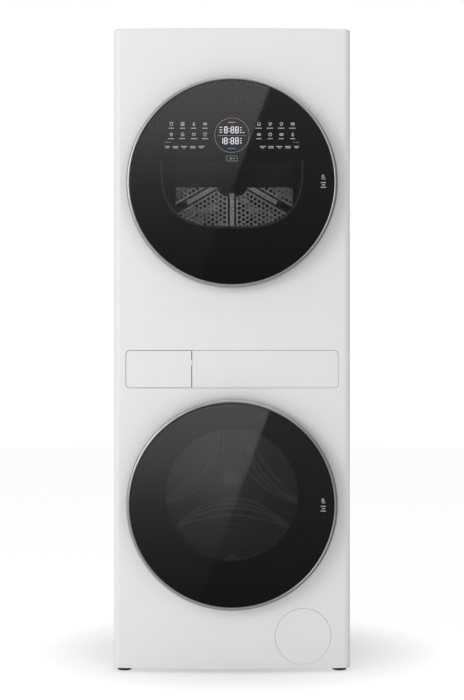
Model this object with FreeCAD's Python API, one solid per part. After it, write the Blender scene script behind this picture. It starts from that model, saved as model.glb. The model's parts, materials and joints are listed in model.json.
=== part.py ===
import FreeCAD, Part
import math
import os

# Washer and dryer built as one tall cabinet: a heat-pump dryer above, a washer below.
# Millimetres. +Z up, the front faces -Y, +X is the viewer's right.
# The origin is on the floor, under the middle of the whole object.

# ---- cabinet -------------------------------------------------------------------------
WIDTH = 600.0
HEIGHT = 1630.0
HALF_W = WIDTH / 2
HALF_DEPTH = 340.0           # door glass at the front, hose fittings at the back
FRONT_Y = -308.0             # crown of the gently bowed front
CROWN_R = 3000.0             # radius of the bow, about a vertical axis
CORNER_R = 18.0              # rounded vertical corners of the front
TOP_EDGE_R = 5.0
WRAP_Y = -262.0              # where the front panel's returns meet the side panels
BACK_Y = 330.0
INNER_FRONT_Y = -279.0        # foremost edge of the base and the deck, clear of the corners
CABINET_Z0 = 10.0
SHEET = 1.2                  # side, top and rear sheet steel
FRONT_SHEET = 1.5
TOP_CAP = 12.0               # height of the top panel's turned-down edge
DECK_Z = 818.0
DECK_T = 2.0
PAN_Z = 12.0
PAN_T = 2.0

# ---- doors ---------------------------------------------------------------------------
DRYER_DOOR_Z = 1237.2
WASHER_DOOR_Z = 426.3
GLASS_R = 256.5
GLASS_T = 5.0
RING_R = 265.8
RING_IN_R = 257.0
RING_WALL = 1.8
RING_FRONT_Y = -337.5
DOOR_BACK_Y = -313.0
FRAME_R = 256.0
FRAME_WALL = 3.0
SEAT_R = 244.0
SEAT_Y = -309.0
OPENING_R = 195.0
PORT_R = 190.0
HINGE_X = -255.0
HINGE_Y = -325.0
PIN_R = 2.5
PIN_HOLE_R = 2.55
KNUCKLE_R = 4.5
KNUCKLE_SPLIT = 12.0
KNUCKLE_END = 35.0
LATCH_X = 232.0
LATCH_Y = -324.0

# ---- panel row between the doors -----------------------------------------------------
ROW_HALF_W = 269.5
ROW_Z0 = 719.4
ROW_Z1 = 815.0
ROW_R = 10.5
SEAM_X = -101.5
DRAWER_GAP = 1.2
FASCIA_GAP = 0.8
TAB_Z0 = 776.0               # pull tab of the drawer, let into the fascia
TAB_Z1 = 790.7
TAB_REACH = 2.6
TAB_GAP = 0.45
FILTER_X = 180.0
FILTER_Z = 91.4
FILTER_R = 70.5
FILTER_GAP = 0.7

# ---- washer --------------------------------------------------------------------------
WASHER_Z = 450.0             # drum axis
TUB_R = 268.0
TUB_WALL = 5.0
TUB_FRONT_Y = -238.0
TUB_SPLIT_Y = -30.0
TUB_BACK_Y = 225.0
WDRUM_R = 245.0
WDRUM_FRONT_Y = -215.0
WDRUM_BACK_Y = 190.0
WDRUM_MOUTH_R = 182.0
DRUM_SHEET = 1.2
SHAFT_R = 15.0
SHAFT_FIT = 0.05             # radial clearance of a shaft in its bearing
BEARING_R = 31.0
SPRING_X = 235.0
SPRING_Y = 60.0
DAMPER_X = 185.0
DAMPER_Y = 20.0

# ---- dryer ---------------------------------------------------------------------------
DRYER_Z = 1308.0             # drum axis
DDRUM_R = 280.0
DDRUM_FRONT_Y = -225.0
DDRUM_BACK_Y = 212.0
FRONT_WALL_Y = -240.0
REAR_WALL_Y = 218.0
WALL_T = 3.0
COLLAR_R = 272.0
ROLLER_R = 35.0
ROLLER_X = 150.0
MOTOR_X = 190.0
MOTOR_Z = 915.0
PULLEY_R = 9.0
BELT_Y0 = 95.0
BELT_Y1 = 105.0
BELT_T = 2.5

# ---- feet ----------------------------------------------------------------------------
FOOT_X = 274.0
FOOT_Y = 262.0
FOOT_R = 18.0
STUD_R = 5.0

# ---- rear fittings -------------------------------------------------------------------
INLET_X = -190.0
INLET_Z = 770.0
INLET_R = 13.2               # 3/4 inch hose thread
DRAIN_X = 235.0
DRAIN_Z = 690.0
DRAIN_R = 10.5
POWER_X = 235.0
POWER_Z = 770.0
TRANSIT_DX = 360.0
TRANSIT_DZ = 300.0
TRANSIT_HOLE_R = 9.0

VECTOR = FreeCAD.Vector
ALONG_X = VECTOR(1, 0, 0)
ALONG_Y = VECTOR(0, 1, 0)
ALONG_Z = VECTOR(0, 0, 1)


# ---- building blocks -----------------------------------------------------------------
def box(x0, x1, y0, y1, z0, z1):
    return Part.makeBox(x1 - x0, y1 - y0, z1 - z0, VECTOR(x0, y0, z0))


def rod_x(y, z, radius, x0, x1):
    return Part.makeCylinder(radius, x1 - x0, VECTOR(x0, y, z), ALONG_X)


def rod_y(x, z, radius, y0, y1):
    return Part.makeCylinder(radius, y1 - y0, VECTOR(x, y0, z), ALONG_Y)


def rod_z(x, y, radius, z0, z1):
    return Part.makeCylinder(radius, z1 - z0, VECTOR(x, y, z0), ALONG_Z)


def tube_y(x, z, outer, inner, y0, y1):
    return rod_y(x, z, outer, y0, y1).cut(rod_y(x, z, inner, y0 - 1, y1 + 1))


def tube_z(x, y, outer, inner, z0, z1):
    return rod_z(x, y, outer, z0, z1).cut(rod_z(x, y, inner, z0 - 1, z1 + 1))


def joined(first, *others):
    return first.fuse(list(others)).removeSplitter() if others else first


def turned(profile, x, z):
    """Solid of revolution about the line through (x, z) along Y; profile is (radius, y)."""
    points = [VECTOR(x + radius, y, z) for radius, y in profile]
    face = Part.Face(Part.makePolygon(points + points[:1]))
    return face.revolve(VECTOR(x, 0, z), ALONG_Y, 360)


def plan_prism(points, z0, z1):
    """Polygon in plan (x, y), raised from z0 to z1."""
    corners = [VECTOR(x, y, z0) for x, y in points]
    return Part.Face(Part.makePolygon(corners + corners[:1])).extrude(VECTOR(0, 0, z1 - z0))


def front_prism(points, y0, y1):
    """Polygon in the front view (x, z), running from y0 to y1."""
    corners = [VECTOR(x, y0, z) for x, z in points]
    return Part.Face(Part.makePolygon(corners + corners[:1])).extrude(VECTOR(0, y1 - y0, 0))


def round_block(x0, x1, y0, y1, z0, z1, radius, left=True, right=True):
    """Box whose edges along Y are rounded, on the left, the right or both sides."""
    block = box(x0, x1, y0, y1, z0, z1)
    edges = []
    for edge in block.Edges:
        middle = edge.CenterOfMass
        along_y = abs(edge.BoundBox.YLength - (y1 - y0)) < 1e-6 and edge.BoundBox.XLength < 1e-6
        if not along_y:
            continue
        if (middle.x < (x0 + x1) / 2 and left) or (middle.x > (x0 + x1) / 2 and right):
            edges.append(edge)
    return block.makeFillet(radius, edges)


def bowed(depth_from, depth_to):
    """Slab between two surfaces that follow the bowed front, at depths behind its face."""
    centre = VECTOR(0, FRONT_Y + CROWN_R, 0)
    outer = Part.makeCylinder(CROWN_R - depth_from, HEIGHT, centre, ALONG_Z)
    inner = Part.makeCylinder(CROWN_R - depth_to, HEIGHT, centre, ALONG_Z)
    front_only = box(-HALF_W, HALF_W, -HALF_DEPTH, 0, 0, HEIGHT)
    return outer.cut(inner).common(front_only)


def save(name, shape):
    if not shape.isValid():
        print("INVALID", name)
    print("%-24s solids %3d volume %9.1f cm3" % (name, len(shape.Solids), shape.Volume / 1000))
    shape.exportStep("parts/" + name + ".step")


# ---- cabinet -------------------------------------------------------------------------
def front_slab(inset, corner_radius, z0, z1):
    """Solid block behind the bowed front, with its two vertical corners rounded."""
    block = box(-HALF_W + inset, HALF_W - inset, FRONT_Y - 20, WRAP_Y, z0, z1)
    centre = VECTOR(0, FRONT_Y + CROWN_R, z0 - 1)
    block = block.common(Part.makeCylinder(CROWN_R - inset, z1 - z0 + 2, centre, ALONG_Z))
    corners = []
    for edge in block.Edges:
        middle = edge.CenterOfMass
        upright = edge.BoundBox.ZLength > z1 - z0 - 1
        if upright and middle.y < WRAP_Y - 1 and abs(middle.x) > HALF_W - inset - 1:
            corners.append(edge)
    return block.makeFillet(corner_radius, corners)


def round_top_front(block):
    edges = []
    for edge in block.Edges:
        level = edge.BoundBox.ZLength < 1e-6 and abs(edge.CenterOfMass.z - HEIGHT) < 1e-6
        if level and edge.CenterOfMass.y < WRAP_Y - 0.01:
            edges.append(edge)
    return block.makeFillet(TOP_EDGE_R, edges)


def door_seat(door_z):
    """Flat round face that the door closes on, standing a little proud of the bowed sheet."""
    face = rod_y(0, door_z, SEAT_R, SEAT_Y, SEAT_Y + FRONT_SHEET)
    wall = tube_y(0, door_z, SEAT_R, SEAT_R - FRONT_SHEET, SEAT_Y, FRONT_Y + 13)
    beyond = bowed(FRONT_SHEET, 60)
    return joined(face, wall.cut(beyond))


def front_panel():
    shell = round_top_front(front_slab(0, CORNER_R, CABINET_Z0, HEIGHT))
    hollow = front_slab(FRONT_SHEET, CORNER_R - FRONT_SHEET, CABINET_Z0 - 1, HEIGHT - FRONT_SHEET)
    shell = shell.cut(hollow)
    for door_z, opening_z in ((DRYER_DOOR_Z, DRYER_DOOR_Z), (WASHER_DOOR_Z, WASHER_Z)):
        shell = shell.cut(rod_y(0, door_z, SEAT_R - FRONT_SHEET, FRONT_Y - 5, FRONT_Y + 30))
        shell = shell.fuse(door_seat(door_z))
        latch_slot = box(LATCH_X - 10, LATCH_X + 7, SEAT_Y - 1, SEAT_Y + 3, door_z - 9, door_z + 9)
        opening = rod_y(0, opening_z, OPENING_R, SEAT_Y - 1, FRONT_Y + 30)
        shell = shell.cut([opening, latch_slot])
    row = round_block(-ROW_HALF_W, ROW_HALF_W, FRONT_Y - 5, FRONT_Y + 30, ROW_Z0, ROW_Z1, ROW_R)
    filter_hole = rod_y(FILTER_X, FILTER_Z, FILTER_R + FILTER_GAP, FRONT_Y - 5, FRONT_Y + 30)
    return shell.cut([row, filter_hole])


def side_panel(side):
    outer = side * HALF_W
    inner = side * (HALF_W - SHEET)
    flange = side * (HALF_W - 16)
    skin = box(min(outer, inner), max(outer, inner), WRAP_Y, BACK_Y, CABINET_Z0, HEIGHT - TOP_CAP)
    rear = box(min(inner, flange), max(inner, flange), BACK_Y - SHEET, BACK_Y,
               CABINET_Z0, HEIGHT - TOP_CAP)
    return joined(skin, rear)


def top_panel():
    block = box(-HALF_W, HALF_W, WRAP_Y, BACK_Y, HEIGHT - TOP_CAP, HEIGHT)
    rims = []
    for edge in block.Edges:
        middle = edge.CenterOfMass
        on_top = abs(middle.z - HEIGHT) < 1e-6 and edge.BoundBox.ZLength < 1e-6
        if on_top and middle.y > WRAP_Y + 1:
            rims.append(edge)
    block = block.makeFillet(TOP_EDGE_R, rims)
    hollow = box(-HALF_W + SHEET, HALF_W - SHEET, WRAP_Y + SHEET, BACK_Y - SHEET,
                 HEIGHT - TOP_CAP - 1, HEIGHT - SHEET)
    return block.cut(hollow)


def rear_panel():
    """Rear sheet with two stiffening ribs, the fittings' holes and four transit bolt holes."""
    half = HALF_W - 16.3
    sheet = box(-half, half, BACK_Y - SHEET, BACK_Y, PAN_Z + PAN_T + 0.5, HEIGHT - TOP_CAP - 0.5)
    ribs = []
    for z in (1100.0, 1420.0):
        rib = round_block(-200, 200, BACK_Y - 6, BACK_Y - SHEET, z - 14, z + 14, 13)
        groove = round_block(-198.5, 198.5, BACK_Y - 4.5, BACK_Y + 1, z - 12.5, z + 12.5, 11.5)
        sheet = sheet.cut(groove)
        ribs.append(rib.cut(groove))
    sheet = joined(sheet, *ribs)
    holes = [rod_y(INLET_X, INLET_Z, 17, BACK_Y - 5, BACK_Y + 1),
             rod_y(DRAIN_X, DRAIN_Z, 16, BACK_Y - 5, BACK_Y + 1),
             box(POWER_X - 14, POWER_X + 14, BACK_Y - 5, BACK_Y + 1, POWER_Z - 12, POWER_Z + 12)]
    for x, z in transit_bolt_places():
        holes.append(rod_y(x, z, TRANSIT_HOLE_R, BACK_Y - 5, BACK_Y + 1))
    return sheet.cut(holes)


def transit_bolt_places():
    places = []
    for x in (-TRANSIT_DX / 2, TRANSIT_DX / 2):
        for z in (WASHER_Z - TRANSIT_DZ / 2, WASHER_Z + TRANSIT_DZ / 2):
            places.append((x, z))
    return places


def foot_places():
    return (("foot_front_left", -FOOT_X, -FOOT_Y), ("foot_front_right", FOOT_X, -FOOT_Y),
            ("foot_rear_left", -FOOT_X, FOOT_Y), ("foot_rear_right", FOOT_X, FOOT_Y))


def base_frame():
    """Bottom pan with an upstand all round and a threaded bush over each foot."""
    half = HALF_W - FRONT_SHEET - 0.5
    y0 = INNER_FRONT_Y
    y1 = BACK_Y - SHEET - 0.5
    pan = box(-half, half, y0, y1, PAN_Z, PAN_Z + 30)
    pan = pan.cut(box(-half + PAN_T, half - PAN_T, y0 + PAN_T, y1 - PAN_T, PAN_Z + PAN_T, PAN_Z + 31))
    bushes = []
    bores = []
    for _, x, y in foot_places():
        bushes.append(rod_z(x, y, 10, PAN_Z + 1, PAN_Z + 20))
        bores.append(rod_z(x, y, STUD_R + SHAFT_FIT, PAN_Z - 1, PAN_Z + 21))
    return joined(pan, *bushes).cut(bores)


def foot(x, y):
    """Levelling foot: a round pad, a six-sided collar and the stud that screws into the base."""
    pad = rod_z(x, y, FOOT_R, 0, 8.5)
    rim = [edge for edge in pad.Edges if edge.BoundBox.ZLength < 1e-6 and edge.CenterOfMass.z < 1]
    pad = pad.makeFillet(3, rim)
    hexagon = [(x + 8 * math.cos(math.radians(60 * k)), y + 8 * math.sin(math.radians(60 * k)))
               for k in range(6)]
    collar = plan_prism(hexagon, 8, 11)
    return joined(pad, collar, rod_z(x, y, STUD_R, 10, 42))


def mid_deck():
    """Cross deck between the two machines, with a folded edge on each side and spring hangers."""
    half = HALF_W - FRONT_SHEET - 0.5
    deck = box(-half, half, INNER_FRONT_Y, BACK_Y - SHEET - 0.5, DECK_Z, DECK_Z + DECK_T)
    pieces = []
    for side in (-1, 1):
        edge_x = side * half
        inner_x = side * (half - DECK_T)
        pieces.append(box(min(edge_x, inner_x), max(edge_x, inner_x), INNER_FRONT_Y,
                          BACK_Y - SHEET - 0.5, DECK_Z - 28, DECK_Z + 1))
        pieces.append(box(side * SPRING_X - 10, side * SPRING_X + 10, SPRING_Y - 10, SPRING_Y + 10,
                          DECK_Z - 24, DECK_Z + 1))
    return joined(deck, *pieces)


def fascia_panel():
    """Fixed right part of the panel row, a shallow tray that follows the bowed front."""
    outline = round_block(SEAM_X + FASCIA_GAP, ROW_HALF_W - FASCIA_GAP, FRONT_Y - 5, FRONT_Y + 40,
                          ROW_Z0 + FASCIA_GAP, ROW_Z1 - FASCIA_GAP, ROW_R - FASCIA_GAP, left=False)
    inner = round_block(SEAM_X + FASCIA_GAP + 2.5, ROW_HALF_W - FASCIA_GAP - 2.5, FRONT_Y - 5,
                        FRONT_Y + 41, ROW_Z0 + FASCIA_GAP + 2.5, ROW_Z1 - FASCIA_GAP - 2.5,
                        ROW_R - FASCIA_GAP - 2.5, left=False)
    face = outline.common(bowed(0, 2.5))
    skirt = outline.cut(inner).common(bowed(1, 12))
    notch = round_block(SEAM_X - 5, SEAM_X + TAB_REACH, FRONT_Y - 5, FRONT_Y + 40, TAB_Z0, TAB_Z1,
                        1.5, left=False)
    return joined(face, skirt).cut(notch)


def filter_cover():
    disc = rod_y(FILTER_X, FILTER_Z, FILTER_R, FRONT_Y - 5, FRONT_Y + 30)
    face = disc.common(bowed(0, 2.5))
    rim = tube_y(FILTER_X, FILTER_Z, FILTER_R - 1, FILTER_R - 4, FRONT_Y - 5, FRONT_Y + 30)
    rim = rim.common(bowed(1, 6))
    clear_of_hinge = box(FILTER_X - FILTER_R - 1, FILTER_X - FILTER_R + 9, FRONT_Y - 10, FRONT_Y + 30,
                         FILTER_Z - FILTER_R, FILTER_Z + FILTER_R)
    return joined(face, rim.cut(clear_of_hinge))


# ---- doors ---------------------------------------------------------------------------
def door_ring(door_z):
    """Metal bezel: a rounded front lip with a thin wall behind it, notched at the hinge arm."""
    lip_y = RING_FRONT_Y + 3
    profile = [(RING_IN_R, lip_y), (RING_IN_R, RING_FRONT_Y), (RING_R - 4, RING_FRONT_Y),
               (RING_R - 1.2, RING_FRONT_Y + 1.2), (RING_R, RING_FRONT_Y + 4), (RING_R, DOOR_BACK_Y),
               (RING_R - RING_WALL, DOOR_BACK_Y), (RING_R - RING_WALL, lip_y)]
    ring = turned(profile, 0, door_z)
    notch = box(-RING_R - 1, -GLASS_R + 8, HINGE_Y - 4, DOOR_BACK_Y + 1, door_z - 13.5, door_z + 13.5)
    return ring.cut(notch)


def door_glass(door_z):
    disc = rod_y(0, door_z, GLASS_R, -HALF_DEPTH, -HALF_DEPTH + GLASS_T)
    rim = [edge for edge in disc.Edges
           if edge.BoundBox.YLength < 1e-6 and edge.CenterOfMass.y < -HALF_DEPTH + 1]
    return disc.makeFillet(1.0, rim)


def door_frame(door_z, port_z):
    """Channel ring behind the glass, with a spacer flange, hinge knuckles and a latch pocket."""
    front_y = -HALF_DEPTH + GLASS_T
    plate = rod_y(0, door_z, FRAME_R, DOOR_BACK_Y - FRAME_WALL, DOOR_BACK_Y)
    rim = tube_y(0, door_z, FRAME_R, FRAME_R - FRAME_WALL, front_y, DOOR_BACK_Y)
    port = tube_y(0, port_z, PORT_R + FRAME_WALL, PORT_R, front_y, DOOR_BACK_Y)
    port = port.common(rod_y(0, door_z, FRAME_R, front_y, DOOR_BACK_Y))
    flange = tube_y(0, door_z, RING_R - RING_WALL, FRAME_R - 1, RING_FRONT_Y + 3, RING_FRONT_Y + 6)
    body = joined(plate, rim, port, flange).cut(rod_y(0, port_z, PORT_R, front_y - 1, DOOR_BACK_Y + 1))
    arm_pocket = box(-RING_R, -225, HINGE_Y - 6, DOOR_BACK_Y + 1, door_z - 13.5, door_z + 13.5)
    knuckle_pocket = box(-RING_R, -GLASS_R + 6, HINGE_Y - 6.5, DOOR_BACK_Y + 1,
                         door_z - KNUCKLE_END - 1, door_z + KNUCKLE_END + 1)
    latch_pocket = box(LATCH_X - 12, LATCH_X + 9, LATCH_Y - 8, DOOR_BACK_Y + 1, door_z - 9, door_z + 9)
    body = body.cut([arm_pocket, knuckle_pocket, latch_pocket])
    additions = []
    bores = []
    for z0, z1 in ((door_z - KNUCKLE_END, door_z - KNUCKLE_SPLIT - 1),
                   (door_z + KNUCKLE_SPLIT + 1, door_z + KNUCKLE_END)):
        additions.append(rod_z(HINGE_X, HINGE_Y, KNUCKLE_R, z0, z1))
        additions.append(box(HINGE_X + 2, -240, HINGE_Y - 3, HINGE_Y + 3, z0, z1))
        additions.append(box(-246, -240, HINGE_Y - 3, DOOR_BACK_Y, z0, z1))
        bores.append(rod_z(HINGE_X, HINGE_Y, PIN_HOLE_R, z0 - 1, z1 + 1))
    for z0 in (door_z - 9, door_z + 6.5):
        additions.append(box(LATCH_X - 12, LATCH_X + 14, LATCH_Y - 5, DOOR_BACK_Y, z0, z0 + 2.5))
        bores.append(rod_z(LATCH_X, LATCH_Y, PIN_HOLE_R - 0.5, z0 - 1, z0 + 4))
    return joined(body, *additions).cut(bores)


def hinge_bracket(door_z):
    """Fixed leaf on the door seat: a plate, the offset arm, its knuckle and the hinge pin."""
    plate_y = SEAT_Y - 2
    plate = box(-241, -214, plate_y, SEAT_Y, door_z - 40, door_z + 40)
    arm_outline = [(HINGE_X - 1, HINGE_Y + 3), (HINGE_X + 3, HINGE_Y - 1),
                   (-237, plate_y + 1), (-241, plate_y + 1)]
    arm = plan_prism(arm_outline, door_z - KNUCKLE_SPLIT, door_z + KNUCKLE_SPLIT)
    knuckle = rod_z(HINGE_X, HINGE_Y, KNUCKLE_R, door_z - KNUCKLE_SPLIT, door_z + KNUCKLE_SPLIT)
    pin = rod_z(HINGE_X, HINGE_Y, PIN_R, door_z - KNUCKLE_END, door_z + KNUCKLE_END)
    leaf = joined(plate, arm, knuckle, pin)
    screw_holes = [rod_y(-227, door_z + offset, 2.6, plate_y - 1, SEAT_Y + 1) for offset in (-28, 0, 28)]
    return leaf.cut(screw_holes)


def latch_hook(door_z):
    """Sprung hook that swings on an upright pivot in the door's edge."""
    outline = [(LATCH_X - 3, LATCH_Y + 3), (LATCH_X + 3, LATCH_Y + 3), (LATCH_X + 3, -289),
               (LATCH_X - 2, -287), (LATCH_X - 7, -292), (LATCH_X - 2, -294)]
    blade = plan_prism(outline, door_z - 4, door_z + 4)
    eye = rod_z(LATCH_X, LATCH_Y, 4.2, door_z - 4, door_z + 4)
    pin = rod_z(LATCH_X, LATCH_Y, PIN_HOLE_R - 0.5 - SHAFT_FIT, door_z - 8.5, door_z + 8.5)
    return joined(blade, eye, pin)


def door_lock(door_z):
    """Lock case behind the seat, open at the front, with a fixed ledge beside the hook."""
    front_y = SEAT_Y + FRONT_SHEET
    case = box(LATCH_X - 15, LATCH_X + 10, front_y, -281, door_z - 14, door_z + 14)
    cavity = box(LATCH_X - 12, LATCH_X + 7, front_y - 1, -283, door_z - 9, door_z + 9)
    return case.cut(cavity)


def dryer_window():
    """Clear pan-shaped plug on the inside of the dryer door."""
    rim_y = DOOR_BACK_Y - 3
    profile = [(PORT_R - 0.5, rim_y), (PORT_R - 0.5, rim_y + 4), (185, rim_y + 4), (171, -280),
               (0, -280), (0, -283), (168.5, -283), (182, rim_y)]
    return turned(profile, 0, DRYER_DOOR_Z)


def washer_bowl():
    """Thick glass bowl that fills the drum mouth, with a flange held by the door frame."""
    rim_y = DOOR_BACK_Y - 3
    profile = [(PORT_R - 0.5, rim_y), (PORT_R - 0.5, rim_y + 4), (158, rim_y + 4), (150, -262),
               (143, -226), (130, -213), (105, -206), (0, -203), (0, -208), (104, -211),
               (127, -218), (138, -229), (145, -262), (153, rim_y)]
    return turned(profile, 0, WASHER_Z)


def display_module():
    """Circuit board with its light box, bonded to the back of the dryer door glass."""
    back_y = -HALF_DEPTH + GLASS_T
    board = box(-182, 182, back_y, back_y + 6, DRYER_DOOR_Z + 55, DRYER_DOOR_Z + 156)
    light_box = box(-50, 50, back_y + 5, back_y + 11, DRYER_DOOR_Z + 68, DRYER_DOOR_Z + 150)
    board = board.common(rod_y(0, DRYER_DOOR_Z, PORT_R - 0.6, back_y, back_y + 12))
    return joined(board, light_box)


# ---- washer --------------------------------------------------------------------------
def tub_front():
    """Front half of the tub: a barrel with a front wall around the mouth."""
    barrel = tube_y(0, WASHER_Z, TUB_R, TUB_R - TUB_WALL, TUB_FRONT_Y, TUB_SPLIT_Y)
    wall = tube_y(0, WASHER_Z, TUB_R, PORT_R, TUB_FRONT_Y, TUB_FRONT_Y + TUB_WALL)
    rib = tube_y(0, WASHER_Z, TUB_R + 5, TUB_R - 1, TUB_SPLIT_Y - 8, TUB_SPLIT_Y)
    return joined(barrel, wall, rib)


def tub_rear():
    """Rear half of the tub: barrel, back wall, bearing hub, spring lugs and damper lugs."""
    barrel = tube_y(0, WASHER_Z, TUB_R, TUB_R - TUB_WALL, TUB_SPLIT_Y, TUB_BACK_Y)
    wall = rod_y(0, WASHER_Z, TUB_R - 1, TUB_BACK_Y - TUB_WALL, TUB_BACK_Y)
    hub = rod_y(0, WASHER_Z, 45, TUB_BACK_Y - 18, TUB_BACK_Y + 12)
    rib = tube_y(0, WASHER_Z, TUB_R + 5, TUB_R - 1, TUB_SPLIT_Y, TUB_SPLIT_Y + 8)
    lugs = []
    for side in (-1, 1):
        lugs.append(box(side * SPRING_X - 12, side * SPRING_X + 12, SPRING_Y - 10, SPRING_Y + 10,
                        WASHER_Z + 100, WASHER_Z + 150))
        lugs.append(box(side * DAMPER_X - 12, side * DAMPER_X + 12, DAMPER_Y - 10, DAMPER_Y + 10,
                        WASHER_Z - 205, WASHER_Z - 170))
    inside = rod_y(0, WASHER_Z, TUB_R - TUB_WALL, TUB_SPLIT_Y - 1, TUB_BACK_Y - TUB_WALL)
    body = joined(barrel, wall, rib, *[lug.cut(inside) for lug in lugs])
    body = joined(body, hub)
    seats = [rod_y(0, WASHER_Z, BEARING_R, y0, y1) for y0, y1 in bearing_places()]
    return body.cut(seats + [rod_y(0, WASHER_Z, SHAFT_R + 4, TUB_BACK_Y - 20, TUB_BACK_Y + 13)])


def bearing_places():
    return ((TUB_BACK_Y - 18, TUB_BACK_Y - 6), (TUB_BACK_Y, TUB_BACK_Y + 12))


def tub_bearings():
    """Front and rear shaft bearings, two plain rings."""
    rings = [tube_y(0, WASHER_Z, BEARING_R, SHAFT_R + SHAFT_FIT, y0, y1) for y0, y1 in bearing_places()]
    return Part.makeCompound(rings)


def counterweights():
    """Cast ring on the tub's front wall and a cast block on its top right."""
    ring = tube_y(0, WASHER_Z, TUB_R - 6, PORT_R + 20, TUB_FRONT_Y - 42, TUB_FRONT_Y)
    block = box(15, 205, TUB_SPLIT_Y - 140, TUB_SPLIT_Y - 12, WASHER_Z + 100, WASHER_Z + 330)
    block = block.cut(rod_y(0, WASHER_Z, TUB_R, TUB_FRONT_Y, TUB_BACK_Y))
    return Part.makeCompound([ring, block])


def motor_stator():
    """Direct-drive stator: a ring with teeth around its rim, bolted on the tub's back."""
    y0 = TUB_BACK_Y
    ring = tube_y(0, WASHER_Z, 96, 50, y0, y0 + 24)
    teeth = []
    for k in range(12):
        tooth = box(-9, 9, y0 + 2, y0 + 22, WASHER_Z + 94, WASHER_Z + 111)
        tooth.rotate(VECTOR(0, 0, WASHER_Z), ALONG_Y, 30 * k)
        teeth.append(tooth)
    return joined(ring, *teeth).common(rod_y(0, WASHER_Z, 112, y0, y0 + 25))


def motor_rotor():
    """Magnet cup that turns around the stator, fixed to the drum shaft."""
    y0 = TUB_BACK_Y + 3
    y1 = TUB_BACK_Y + 34
    cup = tube_y(0, WASHER_Z, 118, 113, y0, y1)
    floor = tube_y(0, WASHER_Z, 118, SHAFT_R, y1 - 4, y1)
    vents = []
    for k in range(8):
        vent = rod_y(0, WASHER_Z + 72, 15, y1 - 6, y1 + 2)
        vent.rotate(VECTOR(0, 0, WASHER_Z), ALONG_Y, 45 * k)
        vents.append(vent)
    return joined(cup, floor).cut(vents)


def washer_drum():
    """Steel drum: a barrel, a back, and a front rim that turns in to the mouth."""
    barrel = tube_y(0, WASHER_Z, WDRUM_R, WDRUM_R - DRUM_SHEET, WDRUM_FRONT_Y, WDRUM_BACK_Y)
    back = rod_y(0, WASHER_Z, WDRUM_R - 0.5, WDRUM_BACK_Y - DRUM_SHEET, WDRUM_BACK_Y)
    front = tube_y(0, WASHER_Z, WDRUM_R - 0.5, WDRUM_MOUTH_R, WDRUM_FRONT_Y, WDRUM_FRONT_Y + DRUM_SHEET)
    lip = tube_y(0, WASHER_Z, WDRUM_MOUTH_R + DRUM_SHEET, WDRUM_MOUTH_R, WDRUM_FRONT_Y - 8,
                 WDRUM_FRONT_Y + 1)
    return joined(barrel, back, front, lip)


def paddle_outline(shell_r, height, foot_half):
    """Front view of a paddle at the bottom of a drum of inside radius shell_r."""
    top = -(shell_r - height)
    return [(-foot_half, -shell_r - 2), (-foot_half * 0.45, top - 6), (-foot_half * 0.2, top),
            (foot_half * 0.2, top), (foot_half * 0.45, top - 6), (foot_half, -shell_r - 2)]


def lifter(length, height, foot_half, shell_r, wall):
    """Hollow tapered paddle along the bottom of a drum."""
    shell = front_prism(paddle_outline(shell_r, height, foot_half), -length / 2, length / 2)
    inner_length = length - 2 * wall
    hollow = front_prism(paddle_outline(shell_r, height - wall, foot_half - 2 * wall),
                         -inner_length / 2, inner_length / 2)
    return shell.cut(hollow).common(rod_y(0, 0, shell_r, -length, length))


def washer_lifters():
    """Three paddles spaced evenly around the washer drum."""
    inside_r = WDRUM_R - DRUM_SHEET
    paddles = []
    for k in range(3):
        paddle = lifter(330, 52, 42, inside_r, 2.5)
        paddle.rotate(VECTOR(0, 0, 0), ALONG_Y, 120 * k)
        paddle.translate(VECTOR(0, (WDRUM_FRONT_Y + WDRUM_BACK_Y) / 2, WASHER_Z))
        paddles.append(paddle)
    return Part.makeCompound(paddles)


def drum_spider():
    """Three-armed casting behind the drum, in one piece with the drum shaft."""
    y0 = WDRUM_BACK_Y
    parts = [rod_y(0, WASHER_Z, 40, y0, y0 + 14), rod_y(0, WASHER_Z, SHAFT_R, y0, TUB_BACK_Y + 38)]
    for k in range(3):
        arm = front_prism([(-16, 0), (16, 0), (26, WDRUM_R - 6), (-26, WDRUM_R - 6)], y0, y0 + 12)
        arm.translate(VECTOR(0, 0, WASHER_Z))
        arm.rotate(VECTOR(0, 0, WASHER_Z), ALONG_Y, 120 * k + 60)
        parts.append(arm)
    return joined(*parts).common(rod_y(0, WASHER_Z, WDRUM_R - 8, y0, TUB_BACK_Y + 40))


def door_gasket():
    """Rubber bellows from the front opening back to the tub, with the lip that meets the bowl."""
    profile = [(194.5, -310), (168, -310), (162, -303), (162, -298), (172, -291), (177, -284),
               (177, -266), (184, -262), (195, -262), (195, -239), (199, -239), (199, -266),
               (186, -266), (181, -269), (181, -286), (186, -296), (194.5, -298)]
    return turned(profile, 0, WASHER_Z)


def suspension_springs():
    """Two tension springs, each drawn as its coil tube between two end eyes."""
    bottom = WASHER_Z + 151
    top = DECK_Z - 25
    springs = []
    for side in (-1, 1):
        x = side * SPRING_X
        coil = tube_z(x, SPRING_Y, 13, 9, bottom + 22, top - 22)
        caps = [rod_z(x, SPRING_Y, 13, bottom + 20, bottom + 23), rod_z(x, SPRING_Y, 13, top - 23, top - 20)]
        stems = [rod_z(x, SPRING_Y, 3, bottom, bottom + 21), rod_z(x, SPRING_Y, 3, top - 21, top)]
        springs.append(joined(coil, *(caps + stems)))
    return Part.makeCompound(springs)


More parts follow.
